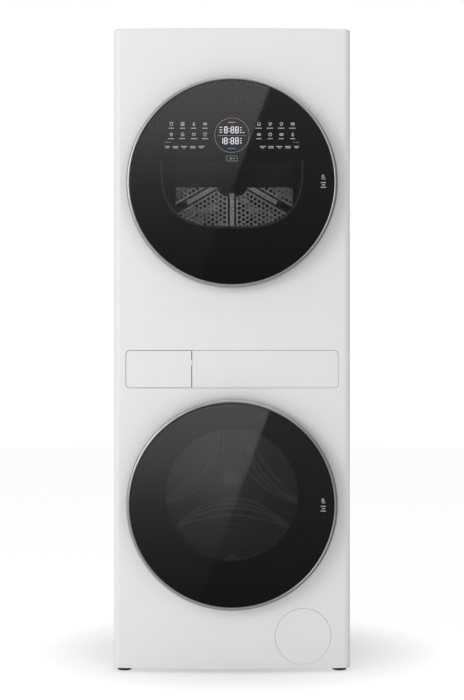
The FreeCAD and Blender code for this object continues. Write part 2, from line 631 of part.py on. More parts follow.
def damper_cylinders():
    """Two friction damper cylinders standing on the base pan."""
    cylinders = []
    for side in (-1, 1):
        x = side * DAMPER_X
        body = rod_z(x, DAMPER_Y, 15, PAN_Z + PAN_T, 175)
        foot_plate = box(x - 25, x + 25, DAMPER_Y - 18, DAMPER_Y + 18, PAN_Z + PAN_T, PAN_Z + PAN_T + 4)
        bore = rod_z(x, DAMPER_Y, STUD_R + SHAFT_FIT, 85, 176)
        cylinders.append(joined(body, foot_plate).cut(bore))
    return Part.makeCompound(cylinders)


def damper_rods():
    """The damper rods that hang from the tub's lower lugs into the cylinders."""
    rods = [rod_z(side * DAMPER_X, DAMPER_Y, STUD_R, 105, WASHER_Z - 205) for side in (-1, 1)]
    return Part.makeCompound(rods)


def detergent_drawer():
    """Tray with three compartments, open at the top."""
    x0 = -262.0
    x1 = -108.0
    y0 = -286.0
    y1 = -60.0
    tray = box(x0, x1, y0, y1, 730, 800)
    walls = (x0 + 2, x0 + 62, x0 + 108, x1 - 2)
    pockets = [box(left + 1, right - 1, y0 + 2.5, y1 - 2.5, 733, 801)
               for left, right in zip(walls[:-1], walls[1:])]
    return tray.cut(pockets)


def drawer_front():
    """Drawer face that follows the bowed front, with a pull tab that laps the seam."""
    outline = round_block(-ROW_HALF_W + DRAWER_GAP, SEAM_X - DRAWER_GAP, FRONT_Y - 5, FRONT_Y + 40,
                          ROW_Z0 + DRAWER_GAP, ROW_Z1 - DRAWER_GAP, ROW_R - DRAWER_GAP, right=False)
    face = outline.common(bowed(0, 3))
    skirt = outline.cut(round_block(-ROW_HALF_W + DRAWER_GAP + 3, SEAM_X - DRAWER_GAP - 3, FRONT_Y - 6,
                                    FRONT_Y + 41, ROW_Z0 + DRAWER_GAP + 3, ROW_Z1 - DRAWER_GAP - 3,
                                    ROW_R - DRAWER_GAP - 3, right=False)).common(bowed(1, 9))
    back = box(-262, -108, -289, -286, 730, 800)
    struts = [box(x - 2, x + 2, -304, -286, 735, 795).common(bowed(1, 60)) for x in (-240, -185, -130)]
    tab = round_block(SEAM_X - DRAWER_GAP - 1, SEAM_X + TAB_REACH - TAB_GAP, FRONT_Y - 5, FRONT_Y + 40,
                      TAB_Z0 + TAB_GAP, TAB_Z1 - TAB_GAP, 1.2, left=False).common(bowed(0.3, 3))
    return joined(face, skirt, back, tab, *struts)


def dispenser_box():
    """Housing that the drawer slides in, open at the front."""
    outer = box(-267, -103, -284, -40, 722, 812)
    inner = box(-264.5, -105.5, -285, -43, 726, 809)
    return outer.cut(inner)


def inlet_valve():
    """Double inlet valve: a body, two coils and the threaded spigot that leaves the back."""
    body = box(INLET_X - 24, INLET_X + 24, 270, 322, INLET_Z - 14, INLET_Z + 14)
    coils = [rod_z(INLET_X + offset, 285, 11, INLET_Z - 34, INLET_Z - 10) for offset in (-13, 13)]
    flange = rod_y(INLET_X, INLET_Z, 22, BACK_Y - 6, BACK_Y - SHEET)
    spigot = rod_y(INLET_X, INLET_Z, INLET_R, 318, HALF_DEPTH)
    return joined(body, flange, spigot, *coils).cut(rod_y(INLET_X, INLET_Z, 8, 312, HALF_DEPTH + 1))


def drain_outlet():
    """Spigot that the drain hose pushes on to, clamped in the rear sheet."""
    pipe = rod_y(DRAIN_X, DRAIN_Z, DRAIN_R, 296, HALF_DEPTH)
    flange = rod_y(DRAIN_X, DRAIN_Z, 21, BACK_Y - 5, BACK_Y - SHEET)
    return joined(pipe, flange).cut(rod_y(DRAIN_X, DRAIN_Z, 7.5, 295, HALF_DEPTH + 1))


def power_inlet():
    """Strain relief where the mains lead enters: a block with a stepped round gland."""
    block = box(POWER_X - 18, POWER_X + 18, 305, BACK_Y - SHEET, POWER_Z - 16, POWER_Z + 16)
    neck = box(POWER_X - 13, POWER_X + 13, BACK_Y - 3, BACK_Y + 4, POWER_Z - 11, POWER_Z + 11)
    gland = rod_y(POWER_X, POWER_Z, 9, BACK_Y + 3, HALF_DEPTH)
    return joined(block, neck, gland).cut(rod_y(POWER_X, POWER_Z, 4.5, 304, HALF_DEPTH + 1))


def drain_pump():
    """Drain pump: filter bowl open at the front, impeller chamber, motor and two pipe stubs."""
    bowl = rod_y(FILTER_X, FILTER_Z, 37, -283, -160)
    motor = rod_y(FILTER_X, FILTER_Z, 28, -161, -95)
    stubs = [rod_x(-200, FILTER_Z + 8, 14, FILTER_X - 75, FILTER_X - 20),
             rod_z(FILTER_X - 10, -178, 11, FILTER_Z + 20, FILTER_Z + 62)]
    rest = box(FILTER_X - 24, FILTER_X + 24, -270, -175, PAN_Z + PAN_T, FILTER_Z - 20)
    body = joined(bowl, motor, rest, *stubs)
    bores = [rod_y(FILTER_X, FILTER_Z, 31, -284, -190),
             rod_x(-200, FILTER_Z + 8, 11, FILTER_X - 76, FILTER_X - 15),
             rod_z(FILTER_X - 10, -178, 8, FILTER_Z + 45, FILTER_Z + 63)]
    return body.cut(bores)


def pump_filter():
    """Screw-in lint trap with a wing handle and a slotted basket."""
    cap = rod_y(FILTER_X, FILTER_Z, 35, -289, -284)
    grip = round_block(FILTER_X - 24, FILTER_X + 24, -297, -288, FILTER_Z - 4, FILTER_Z + 4, 3)
    plug = rod_y(FILTER_X, FILTER_Z, 30, -285, -268)
    basket = tube_y(FILTER_X, FILTER_Z, 27, 24, -269, -205)
    floor = rod_y(FILTER_X, FILTER_Z, 27, -208, -205)
    slots = [box(FILTER_X - 40, FILTER_X + 40, -262, -214, FILTER_Z + z - 5, FILTER_Z + z + 5)
             for z in (-12, 12)]
    return joined(cap, grip, plug, joined(basket, floor).cut(slots))


def control_board():
    """Main circuit board behind the fascia, with its relays and a connector row."""
    board = box(-70, 255, -274, -271, 728, 808)
    relays = [box(x, x + 28, -272, -252, 740, 765) for x in (-40, 10, 60, 150)]
    connectors = box(-60, 240, -280, -273, 795, 804)
    return joined(board, connectors, *relays)


# ---- dryer ---------------------------------------------------------------------------
def dryer_front_bulkhead():
    """Front wall of the drum space, the throat behind the door and the collar in the drum."""
    half = HALF_W - FRONT_SHEET - 1
    plate = box(-half, half, FRONT_WALL_Y, FRONT_WALL_Y + WALL_T, DRYER_Z - 285, DRYER_Z + 290)
    throat = tube_y(0, DRYER_DOOR_Z, OPENING_R + 3, OPENING_R, -307, FRONT_WALL_Y + 1)
    collar = tube_y(0, DRYER_Z, COLLAR_R, COLLAR_R - 3, FRONT_WALL_Y, FRONT_WALL_Y + 17)
    filter_slot = box(-102, 102, -264, FRONT_WALL_Y + 2, DRYER_DOOR_Z - 260, DRYER_DOOR_Z - 165)
    sleeve = box(-105, 105, -266, FRONT_WALL_Y, DRYER_DOOR_Z - 262, DRYER_DOOR_Z - 162)
    body = joined(plate, collar, throat)
    body = body.cut(rod_y(0, DRYER_DOOR_Z, OPENING_R, -310, FRONT_WALL_Y + 20))
    sleeve = sleeve.cut(rod_y(0, DRYER_DOOR_Z, OPENING_R, -310, FRONT_WALL_Y + 20))
    return joined(body, sleeve).cut(filter_slot)


def lint_filter():
    """Flat lint screen with a grip along its top, in the slot under the dryer throat."""
    plate = box(-98, 98, -259, -244, DRYER_DOOR_Z - 257, DRYER_DOOR_Z - 160)
    grip = round_block(-40, 40, -262, -242, DRYER_DOOR_Z - 162, DRYER_DOOR_Z - 152, 3)
    window = box(-88, 88, -260, -243, DRYER_DOOR_Z - 247, DRYER_DOOR_Z - 200)
    screen = box(-89, 89, -252, -251, DRYER_DOOR_Z - 248, DRYER_DOOR_Z - 199)
    return joined(plate.cut(window), grip, screen)


def dryer_rear_bulkhead():
    """Rear wall of the drum space: six petal openings around a hub, a collar and an air pan."""
    half = HALF_W - FRONT_SHEET - 1
    plate = box(-half, half, REAR_WALL_Y, REAR_WALL_Y + WALL_T, DRYER_Z - 285, DRYER_Z + 290)
    collar = tube_y(0, DRYER_Z, COLLAR_R, COLLAR_R - 3, REAR_WALL_Y - 15, REAR_WALL_Y + 1)
    pan = tube_y(0, DRYER_Z, 180, 177, REAR_WALL_Y + 2, REAR_WALL_Y + 72)
    pan_back = rod_y(0, DRYER_Z, 180, REAR_WALL_Y + 69, REAR_WALL_Y + 72)
    petals = []
    for k in range(6):
        petal = rod_y(0, DRYER_Z + 96, 40, REAR_WALL_Y - 1, REAR_WALL_Y + WALL_T + 1)
        petal.rotate(VECTOR(0, 0, DRYER_Z), ALONG_Y, 60 * k)
        petals.append(petal)
    return joined(plate, collar, pan, pan_back).cut(petals)


def dryer_felt_seals():
    """Felt rings on the two collars, just inside the ends of the turning drum."""
    outer = DDRUM_R - DRUM_SHEET - 0.4
    front = tube_y(0, DRYER_Z, outer, COLLAR_R, FRONT_WALL_Y + WALL_T, FRONT_WALL_Y + 16)
    rear = tube_y(0, DRYER_Z, outer, COLLAR_R, REAR_WALL_Y - 14, REAR_WALL_Y)
    return Part.makeCompound([front, rear])


def dryer_drum():
    """Open steel tube with two rolled stiffening ribs and three paddles inside."""
    length = DDRUM_BACK_Y - DDRUM_FRONT_Y
    shell = tube_y(0, DRYER_Z, DDRUM_R, DDRUM_R - DRUM_SHEET, DDRUM_FRONT_Y, DDRUM_BACK_Y)
    paddles = []
    for k in range(3):
        paddle = lifter(length - 60, 55, 38, DDRUM_R - DRUM_SHEET, DRUM_SHEET)
        paddle.rotate(VECTOR(0, 0, 0), ALONG_Y, 120 * k + 60)
        paddle.translate(VECTOR(0, (DDRUM_FRONT_Y + DDRUM_BACK_Y) / 2, DRYER_Z))
        paddles.append(paddle)
    return Part.makeCompound([shell] + paddles)


def roller_z():
    reach = DDRUM_R + ROLLER_R + 0.4
    return DRYER_Z - math.sqrt(reach ** 2 - ROLLER_X ** 2)


def drum_roller(side):
    """Rubber-tyred roller under the rear of the dryer drum."""
    x = side * ROLLER_X
    z = roller_z()
    tyre = rod_y(x, z, ROLLER_R, 150, 172)
    waist = tube_y(x, z, ROLLER_R + 1, ROLLER_R - 7, 148, 153)
    far_waist = tube_y(x, z, ROLLER_R + 1, ROLLER_R - 7, 169, 174)
    return tyre.cut([waist, far_waist, rod_y(x, z, 5 + SHAFT_FIT, 149, 173)])


def heat_pump_tray():
    """Moulded base of the dryer: floor, rim, fan scroll, motor cradle and roller brackets."""
    z0 = DECK_Z + DECK_T
    pan = box(-284, 284, -232, 300, z0, z0 + 50)
    pan = pan.cut(box(-281, 281, -229, 297, z0 + 3, z0 + 51))
    scroll = tube_y(MOTOR_X, MOTOR_Z, 76, 73, -178, -106)
    scroll = joined(scroll, tube_y(MOTOR_X, MOTOR_Z, 76, 45, -181, -177),
                    tube_y(MOTOR_X, MOTOR_Z, 76, 14, -107, -103),
                    box(MOTOR_X - 20, MOTOR_X + 20, -178, -108, z0 + 1, MOTOR_Z - 74))
    cradle = [box(MOTOR_X - 34, MOTOR_X + 34, y, y + 5, z0 + 1, MOTOR_Z - 52.5) for y in (6, 62)]
    brackets = []
    for side in (-1, 1):
        x = side * ROLLER_X
        post = box(x - 14, x + 14, 180, 186, z0 + 1, roller_z() + 12)
        brackets.append(joined(post, rod_y(x, roller_z(), 5, 147, 181)))
    return joined(pan, scroll, *(cradle + brackets))


def heat_pump_circuit():
    """Sealed brazed circuit: compressor, evaporator, condenser and the pipes between them."""
    z0 = DECK_Z + DECK_T + 3
    compressor = rod_z(-205, 110, 62, z0 + 6, z0 + 150)
    compressor = compressor.makeFillet(18, [e for e in compressor.Edges if e.BoundBox.ZLength < 1e-6])
    feet = box(-262, -148, 60, 160, z0, z0 + 8)
    coils = []
    for y0 in (-215, -110):
        block = box(-150, 80, y0, y0 + 85, z0, z0 + 150)
        grooves = [box(-151, 81, y0 - 1, y0 + 3, z0 + 12 + 12 * k, z0 + 18 + 12 * k) for k in range(11)]
        coils.append(block.cut(grooves))
    pipes = [rod_x(-60, z0 + 120, 5, -240, -149), rod_z(-240, -60, 5, z0 + 60, z0 + 125),
             rod_y(-240, z0 + 64, 5, -60, 80),
             rod_x(-190, z0 + 100, 5, -180, -149), rod_y(-180, z0 + 100, 5, -195, 70)]
    bridge = box(-60, -40, -131, -109, z0, z0 + 10)
    return joined(compressor, feet, bridge, *(coils + pipes))


def dryer_motor():
    """Motor case with a bearing plate at each end."""
    case = tube_y(MOTOR_X, MOTOR_Z, 52, 44, 0, 75)
    ends = [tube_y(MOTOR_X, MOTOR_Z, 50, 6 + SHAFT_FIT, y, y + 4) for y in (0, 71)]
    return joined(case, *ends)


def motor_shaft():
    """Motor core and shaft with the belt pulley behind it and the fan wheel in front."""
    shaft = rod_y(MOTOR_X, MOTOR_Z, 6, -168, 112)
    core = rod_y(MOTOR_X, MOTOR_Z, 42, 8, 66)
    pulley = rod_y(MOTOR_X, MOTOR_Z, PULLEY_R, BELT_Y0 - 2, BELT_Y1 + 2)
    rims = [rod_y(MOTOR_X, MOTOR_Z, PULLEY_R + 5, y, y + 2) for y in (BELT_Y0 - 4, BELT_Y1 + 2)]
    hub = rod_y(MOTOR_X, MOTOR_Z, 14, -168, -120)
    back = rod_y(MOTOR_X, MOTOR_Z, 66, -118, -114)
    front = tube_y(MOTOR_X, MOTOR_Z, 66, 52, -170, -167)
    blades = []
    for k in range(16):
        blade = box(MOTOR_X - 1, MOTOR_X + 1, -168, -116, MOTOR_Z + 50, MOTOR_Z + 65.5)
        blade.rotate(VECTOR(MOTOR_X, 0, MOTOR_Z), ALONG_Y, 22.5 * k)
        blades.append(blade)
    spine = rod_y(MOTOR_X, MOTOR_Z, 14, -121, -113)
    return joined(shaft, core, pulley, hub, spine, back, front, *(rims + blades))


def belt_loop(drum_r, pulley_r, y0, y1):
    """Solid inside a belt line that runs round the drum circle and the pulley circle."""
    dx = MOTOR_X
    dz = MOTOR_Z - DRYER_Z
    span = math.hypot(dx, dz)
    heading = math.atan2(dz, dx)
    spread = math.acos((drum_r - pulley_r) / span)
    corners = []
    for centre_x, centre_z, radius, sign in ((0, DRYER_Z, drum_r, 1), (MOTOR_X, MOTOR_Z, pulley_r, 1),
                                             (MOTOR_X, MOTOR_Z, pulley_r, -1), (0, DRYER_Z, drum_r, -1)):
        angle = heading + sign * spread
        corners.append((centre_x + radius * math.cos(angle), centre_z + radius * math.sin(angle)))
    strip = front_prism(corners, y0, y1)
    return joined(strip, rod_y(0, DRYER_Z, drum_r, y0, y1), rod_y(MOTOR_X, MOTOR_Z, pulley_r, y0, y1))


def drive_belt():
    """Flat ribbed belt round the drum and the motor pulley."""
    gap = 0.4
    outer = belt_loop(DDRUM_R + gap + BELT_T, PULLEY_R + gap + BELT_T, BELT_Y0, BELT_Y1)
    inner = belt_loop(DDRUM_R + gap, PULLEY_R + gap, BELT_Y0 - 1, BELT_Y1 + 1)
    return outer.cut(inner)


# ---- export --------------------------------------------------------------------------
def nodes():
    shapes = {
        "front_panel": front_panel(),
        "side_panel_left": side_panel(-1),
        "side_panel_right": side_panel(1),
        "top_panel": top_panel(),
        "rear_panel": rear_panel(),
        "base_frame": base_frame(),
        "mid_deck": mid_deck(),
        "fascia_panel": fascia_panel(),
        "filter_cover": filter_cover(),
        "drawer_front": drawer_front(),
        "detergent_drawer": detergent_drawer(),
        "dispenser_box": dispenser_box(),
        "control_board": control_board(),
        "inlet_valve": inlet_valve(),
        "drain_outlet": drain_outlet(),
        "power_inlet": power_inlet(),
        "drain_pump": drain_pump(),
        "pump_filter": pump_filter(),
        "door_gasket": door_gasket(),
        "suspension_springs": suspension_springs(),
        "damper_cylinders": damper_cylinders(),
        "damper_rods": damper_rods(),
        "tub_front": tub_front(),
        "tub_rear": tub_rear(),
        "tub_bearings": tub_bearings(),
        "counterweights": counterweights(),
        "motor_stator": motor_stator(),
        "motor_rotor": motor_rotor(),
        "washer_drum": washer_drum(),
        "washer_lifters": washer_lifters(),
        "drum_spider": drum_spider(),
        "dryer_front_bulkhead": dryer_front_bulkhead(),
        "dryer_rear_bulkhead": dryer_rear_bulkhead(),
        "dryer_felt_seals": dryer_felt_seals(),
        "dryer_drum": dryer_drum(),
        "drum_roller_left": drum_roller(-1),
        "drum_roller_right": drum_roller(1),
        "heat_pump_tray": heat_pump_tray(),
        "heat_pump_circuit": heat_pump_circuit(),
        "dryer_motor": dryer_motor(),
        "dryer_motor_shaft": motor_shaft(),
        "drive_belt": drive_belt(),
        "lint_filter": lint_filter(),
        "dryer_door_window": dryer_window(),
        "display_module": display_module(),
        "washer_door_bowl": washer_bowl(),
    }
    for machine, door_z, port_z in (("dryer", DRYER_DOOR_Z, DRYER_DOOR_Z),
                                    ("washer", WASHER_DOOR_Z, WASHER_Z)):
        shapes[machine + "_door_ring"] = door_ring(door_z)
        shapes[machine + "_door_glass"] = door_glass(door_z)
        shapes[machine + "_door_frame"] = door_frame(door_z, port_z)
        shapes[machine + "_latch_hook"] = latch_hook(door_z)
    shapes["hinge_brackets"] = Part.makeCompound([hinge_bracket(z) for z in (DRYER_DOOR_Z, WASHER_DOOR_Z)])
    shapes["door_locks"] = Part.makeCompound([door_lock(z) for z in (DRYER_DOOR_Z, WASHER_DOOR_Z)])
    for name, x, y in foot_places():
        shapes[name] = foot(x, y)
    return shapes


os.makedirs("parts", exist_ok=True)
for node, shape in nodes().items():
    save(node, shape)
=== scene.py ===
import json
import math

import bpy
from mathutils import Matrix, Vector


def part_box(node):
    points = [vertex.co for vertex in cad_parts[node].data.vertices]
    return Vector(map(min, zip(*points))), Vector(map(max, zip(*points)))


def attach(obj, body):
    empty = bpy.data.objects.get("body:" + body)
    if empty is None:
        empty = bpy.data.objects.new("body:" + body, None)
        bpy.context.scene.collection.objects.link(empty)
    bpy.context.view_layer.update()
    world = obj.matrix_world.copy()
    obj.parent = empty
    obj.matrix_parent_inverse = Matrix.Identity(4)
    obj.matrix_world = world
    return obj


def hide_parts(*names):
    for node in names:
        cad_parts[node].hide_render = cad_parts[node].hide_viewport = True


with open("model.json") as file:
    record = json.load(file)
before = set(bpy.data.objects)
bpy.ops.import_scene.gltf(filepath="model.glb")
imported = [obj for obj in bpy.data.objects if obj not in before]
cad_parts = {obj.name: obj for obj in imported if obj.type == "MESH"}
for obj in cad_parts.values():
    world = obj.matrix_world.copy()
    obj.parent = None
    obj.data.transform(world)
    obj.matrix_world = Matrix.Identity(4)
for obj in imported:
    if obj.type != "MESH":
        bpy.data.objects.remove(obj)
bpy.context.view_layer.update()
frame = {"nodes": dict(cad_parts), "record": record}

MM = 0.001
DRYER, WASHER = "dryer", "washer"


# ---- places read from the frame ------------------------------------------------------
def span(node):
    low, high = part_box(node)
    return Vector(low), Vector(high)


def middle(node):
    low, high = span(node)
    return (low + high) / 2


def radius_of(node):
    low, high = span(node)
    return (high.x - low.x) / 2


def depths(node):
    """Front and back of a node."""
    return tuple(corner.y for corner in span(node))


GLASS = {machine: middle(machine + "_door_glass") for machine in (DRYER, WASHER)}
GLASS_R = radius_of("dryer_door_glass")
GLASS_FRONT, GLASS_BACK = depths("dryer_door_glass")
RING_R = radius_of("dryer_door_ring")
RING_BACK = depths("dryer_door_ring")[1]
WASHER_AXIS = middle("washer_drum")
WASHER_DRUM_R = radius_of("washer_drum")
WASHER_DRUM_Y = depths("washer_drum")
DRYER_AXIS = middle("dryer_drum")
REAR_WALL_Y = depths("dryer_drum")[1] + 6 * MM      # a little behind the dryer's drum


# ---- camera --------------------------------------------------------------------------
CAMERA_PLACE = (0.0, -4.294, 0.8157)
LENS_MM = 81.15
SENSOR_MM = 36.0


def make_camera():
    """Straight in front, at half the cabinet's height, four metres from its front edges."""
    data = bpy.data.cameras.new("camera")
    data.lens = LENS_MM
    data.sensor_width = SENSOR_MM
    camera = bpy.data.objects.new("camera", data)
    camera.location = CAMERA_PLACE
    camera.rotation_euler = (math.radians(90), 0, 0)
    bpy.context.scene.collection.objects.link(camera)
    bpy.context.scene.camera = camera


make_camera()


# ---- materials -----------------------------------------------------------------------
class Nodes:
    """A short way to write a material's node graph around one Principled shader."""

    def __init__(self, name):
        self.material = bpy.data.materials.new(name)
        self.material.use_nodes = True
        self.tree = self.material.node_tree
        self.shader = self.tree.nodes["Principled BSDF"]

    def add(self, kind):
        return self.tree.nodes.new("ShaderNode" + kind)

    def link(self, source, target):
        self.tree.links.new(source, target)

    def position(self, scale=(1, 1, 1)):
        place = self.add("TexCoord")
        mapping = self.add("Mapping")
        mapping.inputs["Scale"].default_value = scale
        self.link(place.outputs["Object"], mapping.inputs["Vector"])
        return mapping.outputs["Vector"]

    def noise(self, scale, detail=3.0, stretch=(1, 1, 1)):
        node = self.add("TexNoise")
        node.inputs["Scale"].default_value = scale
        node.inputs["Detail"].default_value = detail
        self.link(self.position(stretch), node.inputs["Vector"])
        return node.outputs["Fac"]

    def ramp(self, factor, stops):
        """Colour that runs through the stops, each a place from 0 to 1 and a colour."""
        node = self.add("ValToRGB")
        elements = node.color_ramp.elements
        while len(elements) < len(stops):
            elements.new(0.5)
        for element, (place, colour) in zip(elements, stops):
            element.position = place
            element.color = (*colour, 1.0)
        self.link(factor, node.inputs["Fac"])
        return node.outputs["Color"]

    def spread(self, value, from_range, to_range):
        """Maps a value from one range to another, held at its ends."""
        node = self.add("MapRange")
        for side, limits in (("From", from_range), ("To", to_range)):
            node.inputs[side + " Min"].default_value = limits[0]
            node.inputs[side + " Max"].default_value = limits[1]
        self.link(value, node.inputs["Value"])
        return node.outputs["Result"]

    def maths(self, operation, first, second):
        node = self.add("Math")
        node.operation = operation
        for socket, value in zip(node.inputs, (first, second)):
            if isinstance(value, (int, float)):
                socket.default_value = value
            else:
                self.link(value, socket)
        return node.outputs["Value"]

    def bump(self, height, strength, distance):
        node = self.add("Bump")
        node.inputs["Strength"].default_value = strength
        node.inputs["Distance"].default_value = distance
        self.link(height, node.inputs["Height"])
        self.link(node.outputs["Normal"], self.shader.inputs["Normal"])

    def set(self, **values):
        for key, value in values.items():
            self.shader.inputs[key.replace("_", " ")].default_value = value


M = {}          # materials by name


def tinted(colour, factor):
    return tuple(min(1.0, c * factor) for c in colour)


GRAIN_DEPTH = 0.2 * MM


def surface(name, colour, roughness, metallic=0.0, mottle=0.03, grain=0.0, grain_scale=400.0,
            stretch=(1, 1, 1), coat=0.0, rough_spread=0.05, specular=0.5):
    """Solid material: slight tone and roughness variation, with an optional fine grain."""
    m = Nodes(name)
    wide = m.noise(9.0, 4.0)
    base = m.ramp(wide, [(0.3, tinted(colour, 1 - mottle)), (0.7, tinted(colour, 1 + mottle))])
    m.link(base, m.shader.inputs["Base Color"])
    fine = m.noise(grain_scale, 2.0, stretch)
    low = max(0.02, roughness - rough_spread)
    high = min(1.0, roughness + rough_spread)
    rough = m.ramp(fine, [(0.25, (low,) * 3), (0.75, (high,) * 3)])
    m.link(rough, m.shader.inputs["Roughness"])
    m.set(Metallic=metallic, Coat_Weight=coat, Coat_Roughness=0.1, Specular_IOR_Level=specular)
    if grain:
        m.bump(fine, grain, GRAIN_DEPTH)
    M[name] = m.material


def clear(name, colour, alpha, roughness=0.03, specular=0.5):
    """Thin clear or tinted pane: light passes straight through, gloss stays on top."""
    m = Nodes(name)
    haze = m.noise(14.0, 3.0)
    base = m.ramp(haze, [(0.3, tinted(colour, 0.94)), (0.7, tinted(colour, 1.06))])
    m.link(base, m.shader.inputs["Base Color"])
    rough = m.ramp(haze, [(0.3, (roughness,) * 3), (0.7, (roughness * 1.5,) * 3)])
    m.link(rough, m.shader.inputs["Roughness"])
    m.set(Alpha=alpha, Specular_IOR_Level=specular)
    M[name] = m.material


def glowing(name, colour, strength):
    """Printed mark with a painted glow, or lit display mark: both give off a little light."""
    m = Nodes(name)
    flicker = m.noise(900.0, 1.0)
    base = m.ramp(flicker, [(0.2, tinted(colour, 0.92)), (0.8, colour)])
    m.link(base, m.shader.inputs["Base Color"])
    m.link(base, m.shader.inputs["Emission Color"])
    m.set(Emission_Strength=strength, Roughness=0.4)
    M[name] = m.material


surface("white_enamel", (0.83, 0.832, 0.835), 0.36, mottle=0.006, grain=0.05, grain_scale=700.0,
        rough_spread=0.03)
surface("white_plastic", (0.83, 0.832, 0.836), 0.40, mottle=0.006, grain=0.04, grain_scale=900.0,
        rough_spread=0.03)
surface("zinc_steel", (0.56, 0.58, 0.60), 0.42, metallic=0.85, mottle=0.10, grain=0.1, grain_scale=60.0)
surface("satin_bezel", (0.47, 0.473, 0.478), 0.34, metallic=0.9, mottle=0.02, grain=0.08,
        grain_scale=500.0, stretch=(1, 6, 1))
clear("smoked_glass", (0.0016, 0.0017, 0.0019), 0.44, specular=0.9)
clear("clear_window", (0.06, 0.063, 0.065), 0.06, roughness=0.05, specular=0.1)
clear("bowl_glass", (0.05, 0.055, 0.06), 0.05, roughness=0.02, specular=0.1)
surface("black_plastic", (0.012, 0.012, 0.013), 0.5, mottle=0.1, grain=0.3, grain_scale=1200.0)
surface("grey_plastic", (0.30, 0.31, 0.32), 0.5, mottle=0.04, grain=0.25, grain_scale=1100.0)
surface("tub_plastic", (0.55, 0.56, 0.57), 0.48, mottle=0.04, grain=0.2, grain_scale=1000.0)
surface("gasket_rubber", (0.20, 0.205, 0.21), 0.62, mottle=0.08, grain=0.35, grain_scale=800.0,
        specular=0.3)
surface("foot_rubber", (0.022, 0.023, 0.025), 0.55, mottle=0.15, grain=0.4, grain_scale=900.0)
surface("stainless", (0.58, 0.59, 0.60), 0.36, metallic=0.85, mottle=0.05, grain=0.12,
        grain_scale=300.0, stretch=(1, 14, 1))
surface("felt", (0.32, 0.32, 0.31), 0.95, mottle=0.18, grain=0.9, grain_scale=1500.0)
surface("roller_rubber", (0.03, 0.03, 0.03), 0.7, mottle=0.2, grain=0.4)
surface("cast_concrete", (0.30, 0.30, 0.29), 0.9, mottle=0.22, grain=0.9, grain_scale=120.0)
surface("cast_alloy", (0.55, 0.56, 0.57), 0.45, metallic=1.0, mottle=0.08, grain=0.5, grain_scale=250.0)
surface("spring_steel", (0.42, 0.43, 0.44), 0.33, metallic=1.0, mottle=0.12, grain=0.1)
surface("board_green", (0.02, 0.12, 0.05), 0.4, mottle=0.15, coat=0.4)
surface("copper_fins", (0.50, 0.40, 0.32), 0.42, metallic=0.9, mottle=0.15, grain=0.5,
        grain_scale=500.0, stretch=(8, 1, 1))
surface("motor_steel", (0.05, 0.055, 0.06), 0.4, metallic=0.3, mottle=0.15, grain=0.3)
surface("belt_rubber", (0.02, 0.02, 0.02), 0.6, mottle=0.2, grain=0.5, grain_scale=300.0,
        stretch=(1, 20, 1))
surface("lint_mesh", (0.62, 0.64, 0.66), 0.5, mottle=0.05, grain=0.3, grain_scale=1500.0)
surface("printed_black", (0.0022, 0.0023, 0.0026), 0.5, mottle=0.08, rough_spread=0.03, specular=0.1)
clear("smoked_band", (0.002, 0.002, 0.0022), 0.72, roughness=0.2, specular=0.1)
clear("washer_tint", (0.002, 0.002, 0.0022), 0.45, roughness=0.2, specular=0.1)
# painted shade: near-black colour of the pressed edges round the petals
surface("grille_crease_painted_shade", (0.045, 0.045, 0.047), 0.4, mottle=0.05, grain=0.15)
surface("grille_light", (0.60, 0.61, 0.61), 0.5, metallic=0.1, mottle=0.05, grain=0.15,
        grain_scale=350.0)
# near black; as the sheet behind the washer drum's rear holes it is painted shade
surface("grille_dark", (0.008, 0.008, 0.009), 0.7, mottle=0.1, grain=0.2, specular=0.08)
# printed marks with a painted glow: their emission keeps them bright whatever light falls on them
glowing("white_print_painted_glow", (0.44, 0.45, 0.47), 0.30)
glowing("grey_print_painted_glow", (0.20, 0.205, 0.21), 0.12)
glowing("lit_white", (0.62, 0.64, 0.67), 0.55)
glowing("lit_orange", (0.55, 0.21, 0.03), 0.5)
glowing("lit_blue", (0.04, 0.19, 0.48), 0.5)
surface("window_rim", (0.10, 0.10, 0.103), 0.45, mottle=0.05, grain=0.2)
# painted shade: the perforated rear plate, a darker copy of the drum's stainless steel
surface("drum_floor", (0.40, 0.405, 0.41), 0.45, metallic=0.3, mottle=0.04, grain=0.1,
        grain_scale=300.0)
# painted highlight: the star's beads, a brighter copy of the drum's stainless steel
surface("drum_bead", (0.86, 0.87, 0.88), 0.35, metallic=0.2, mottle=0.04)
# painted shade: the star plate, a much darker copy of the drum's stainless steel
surface("drum_plate_painted_shade", (0.21, 0.214, 0.22), 0.42, metallic=0.4, mottle=0.04, grain=0.1,
        grain_scale=250.0, stretch=(6, 1, 1))
surface("hub_plastic", (0.80, 0.805, 0.81), 0.4, mottle=0.04, grain=0.2, grain_scale=900.0)


def finish_cad_nodes():
    """Gives every CAD node the worked-up material of its slot."""
    slot_of = {part["node"]: part["material_slot"] for part in frame["record"]["subparts"]}
    for name, node in frame["nodes"].items():
        for material_slot in node.material_slots:
            material_slot.material = M[slot_of[name]]


finish_cad_nodes()


def new_object(name, mesh, material, body, replaced=(), smooth=True, angle=35):
    """Links a mesh, shades it, gives it its material and lets it ride on a body."""
    piece = bpy.data.objects.new(name, mesh)
    bpy.context.scene.collection.objects.link(piece)
    mesh.materials.append(M[material])
    if smooth:
        mesh.shade_smooth()
        mesh.set_sharp_from_angle(angle=math.radians(angle))
    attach(piece, body)
    if replaced:
        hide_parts(*replaced)
    return piece


def flat_piece(name, outlines, y, thickness, material, body):
    new_object(name, flat_shape(name, outlines, y, thickness), material, body, smooth=False)


def joined_piece(name, meshes, material, body):
    new_object(name, joined_mesh(name, meshes), material, body, smooth=False)


def turned_piece(name, profile, axis, segments, material, body, replaced=(), closed=True, angle=35):
    mesh = lathe_mesh(name, profile, axis.x, axis.z, segments, closed)
    new_object(name, mesh, material, body, replaced, angle=angle)


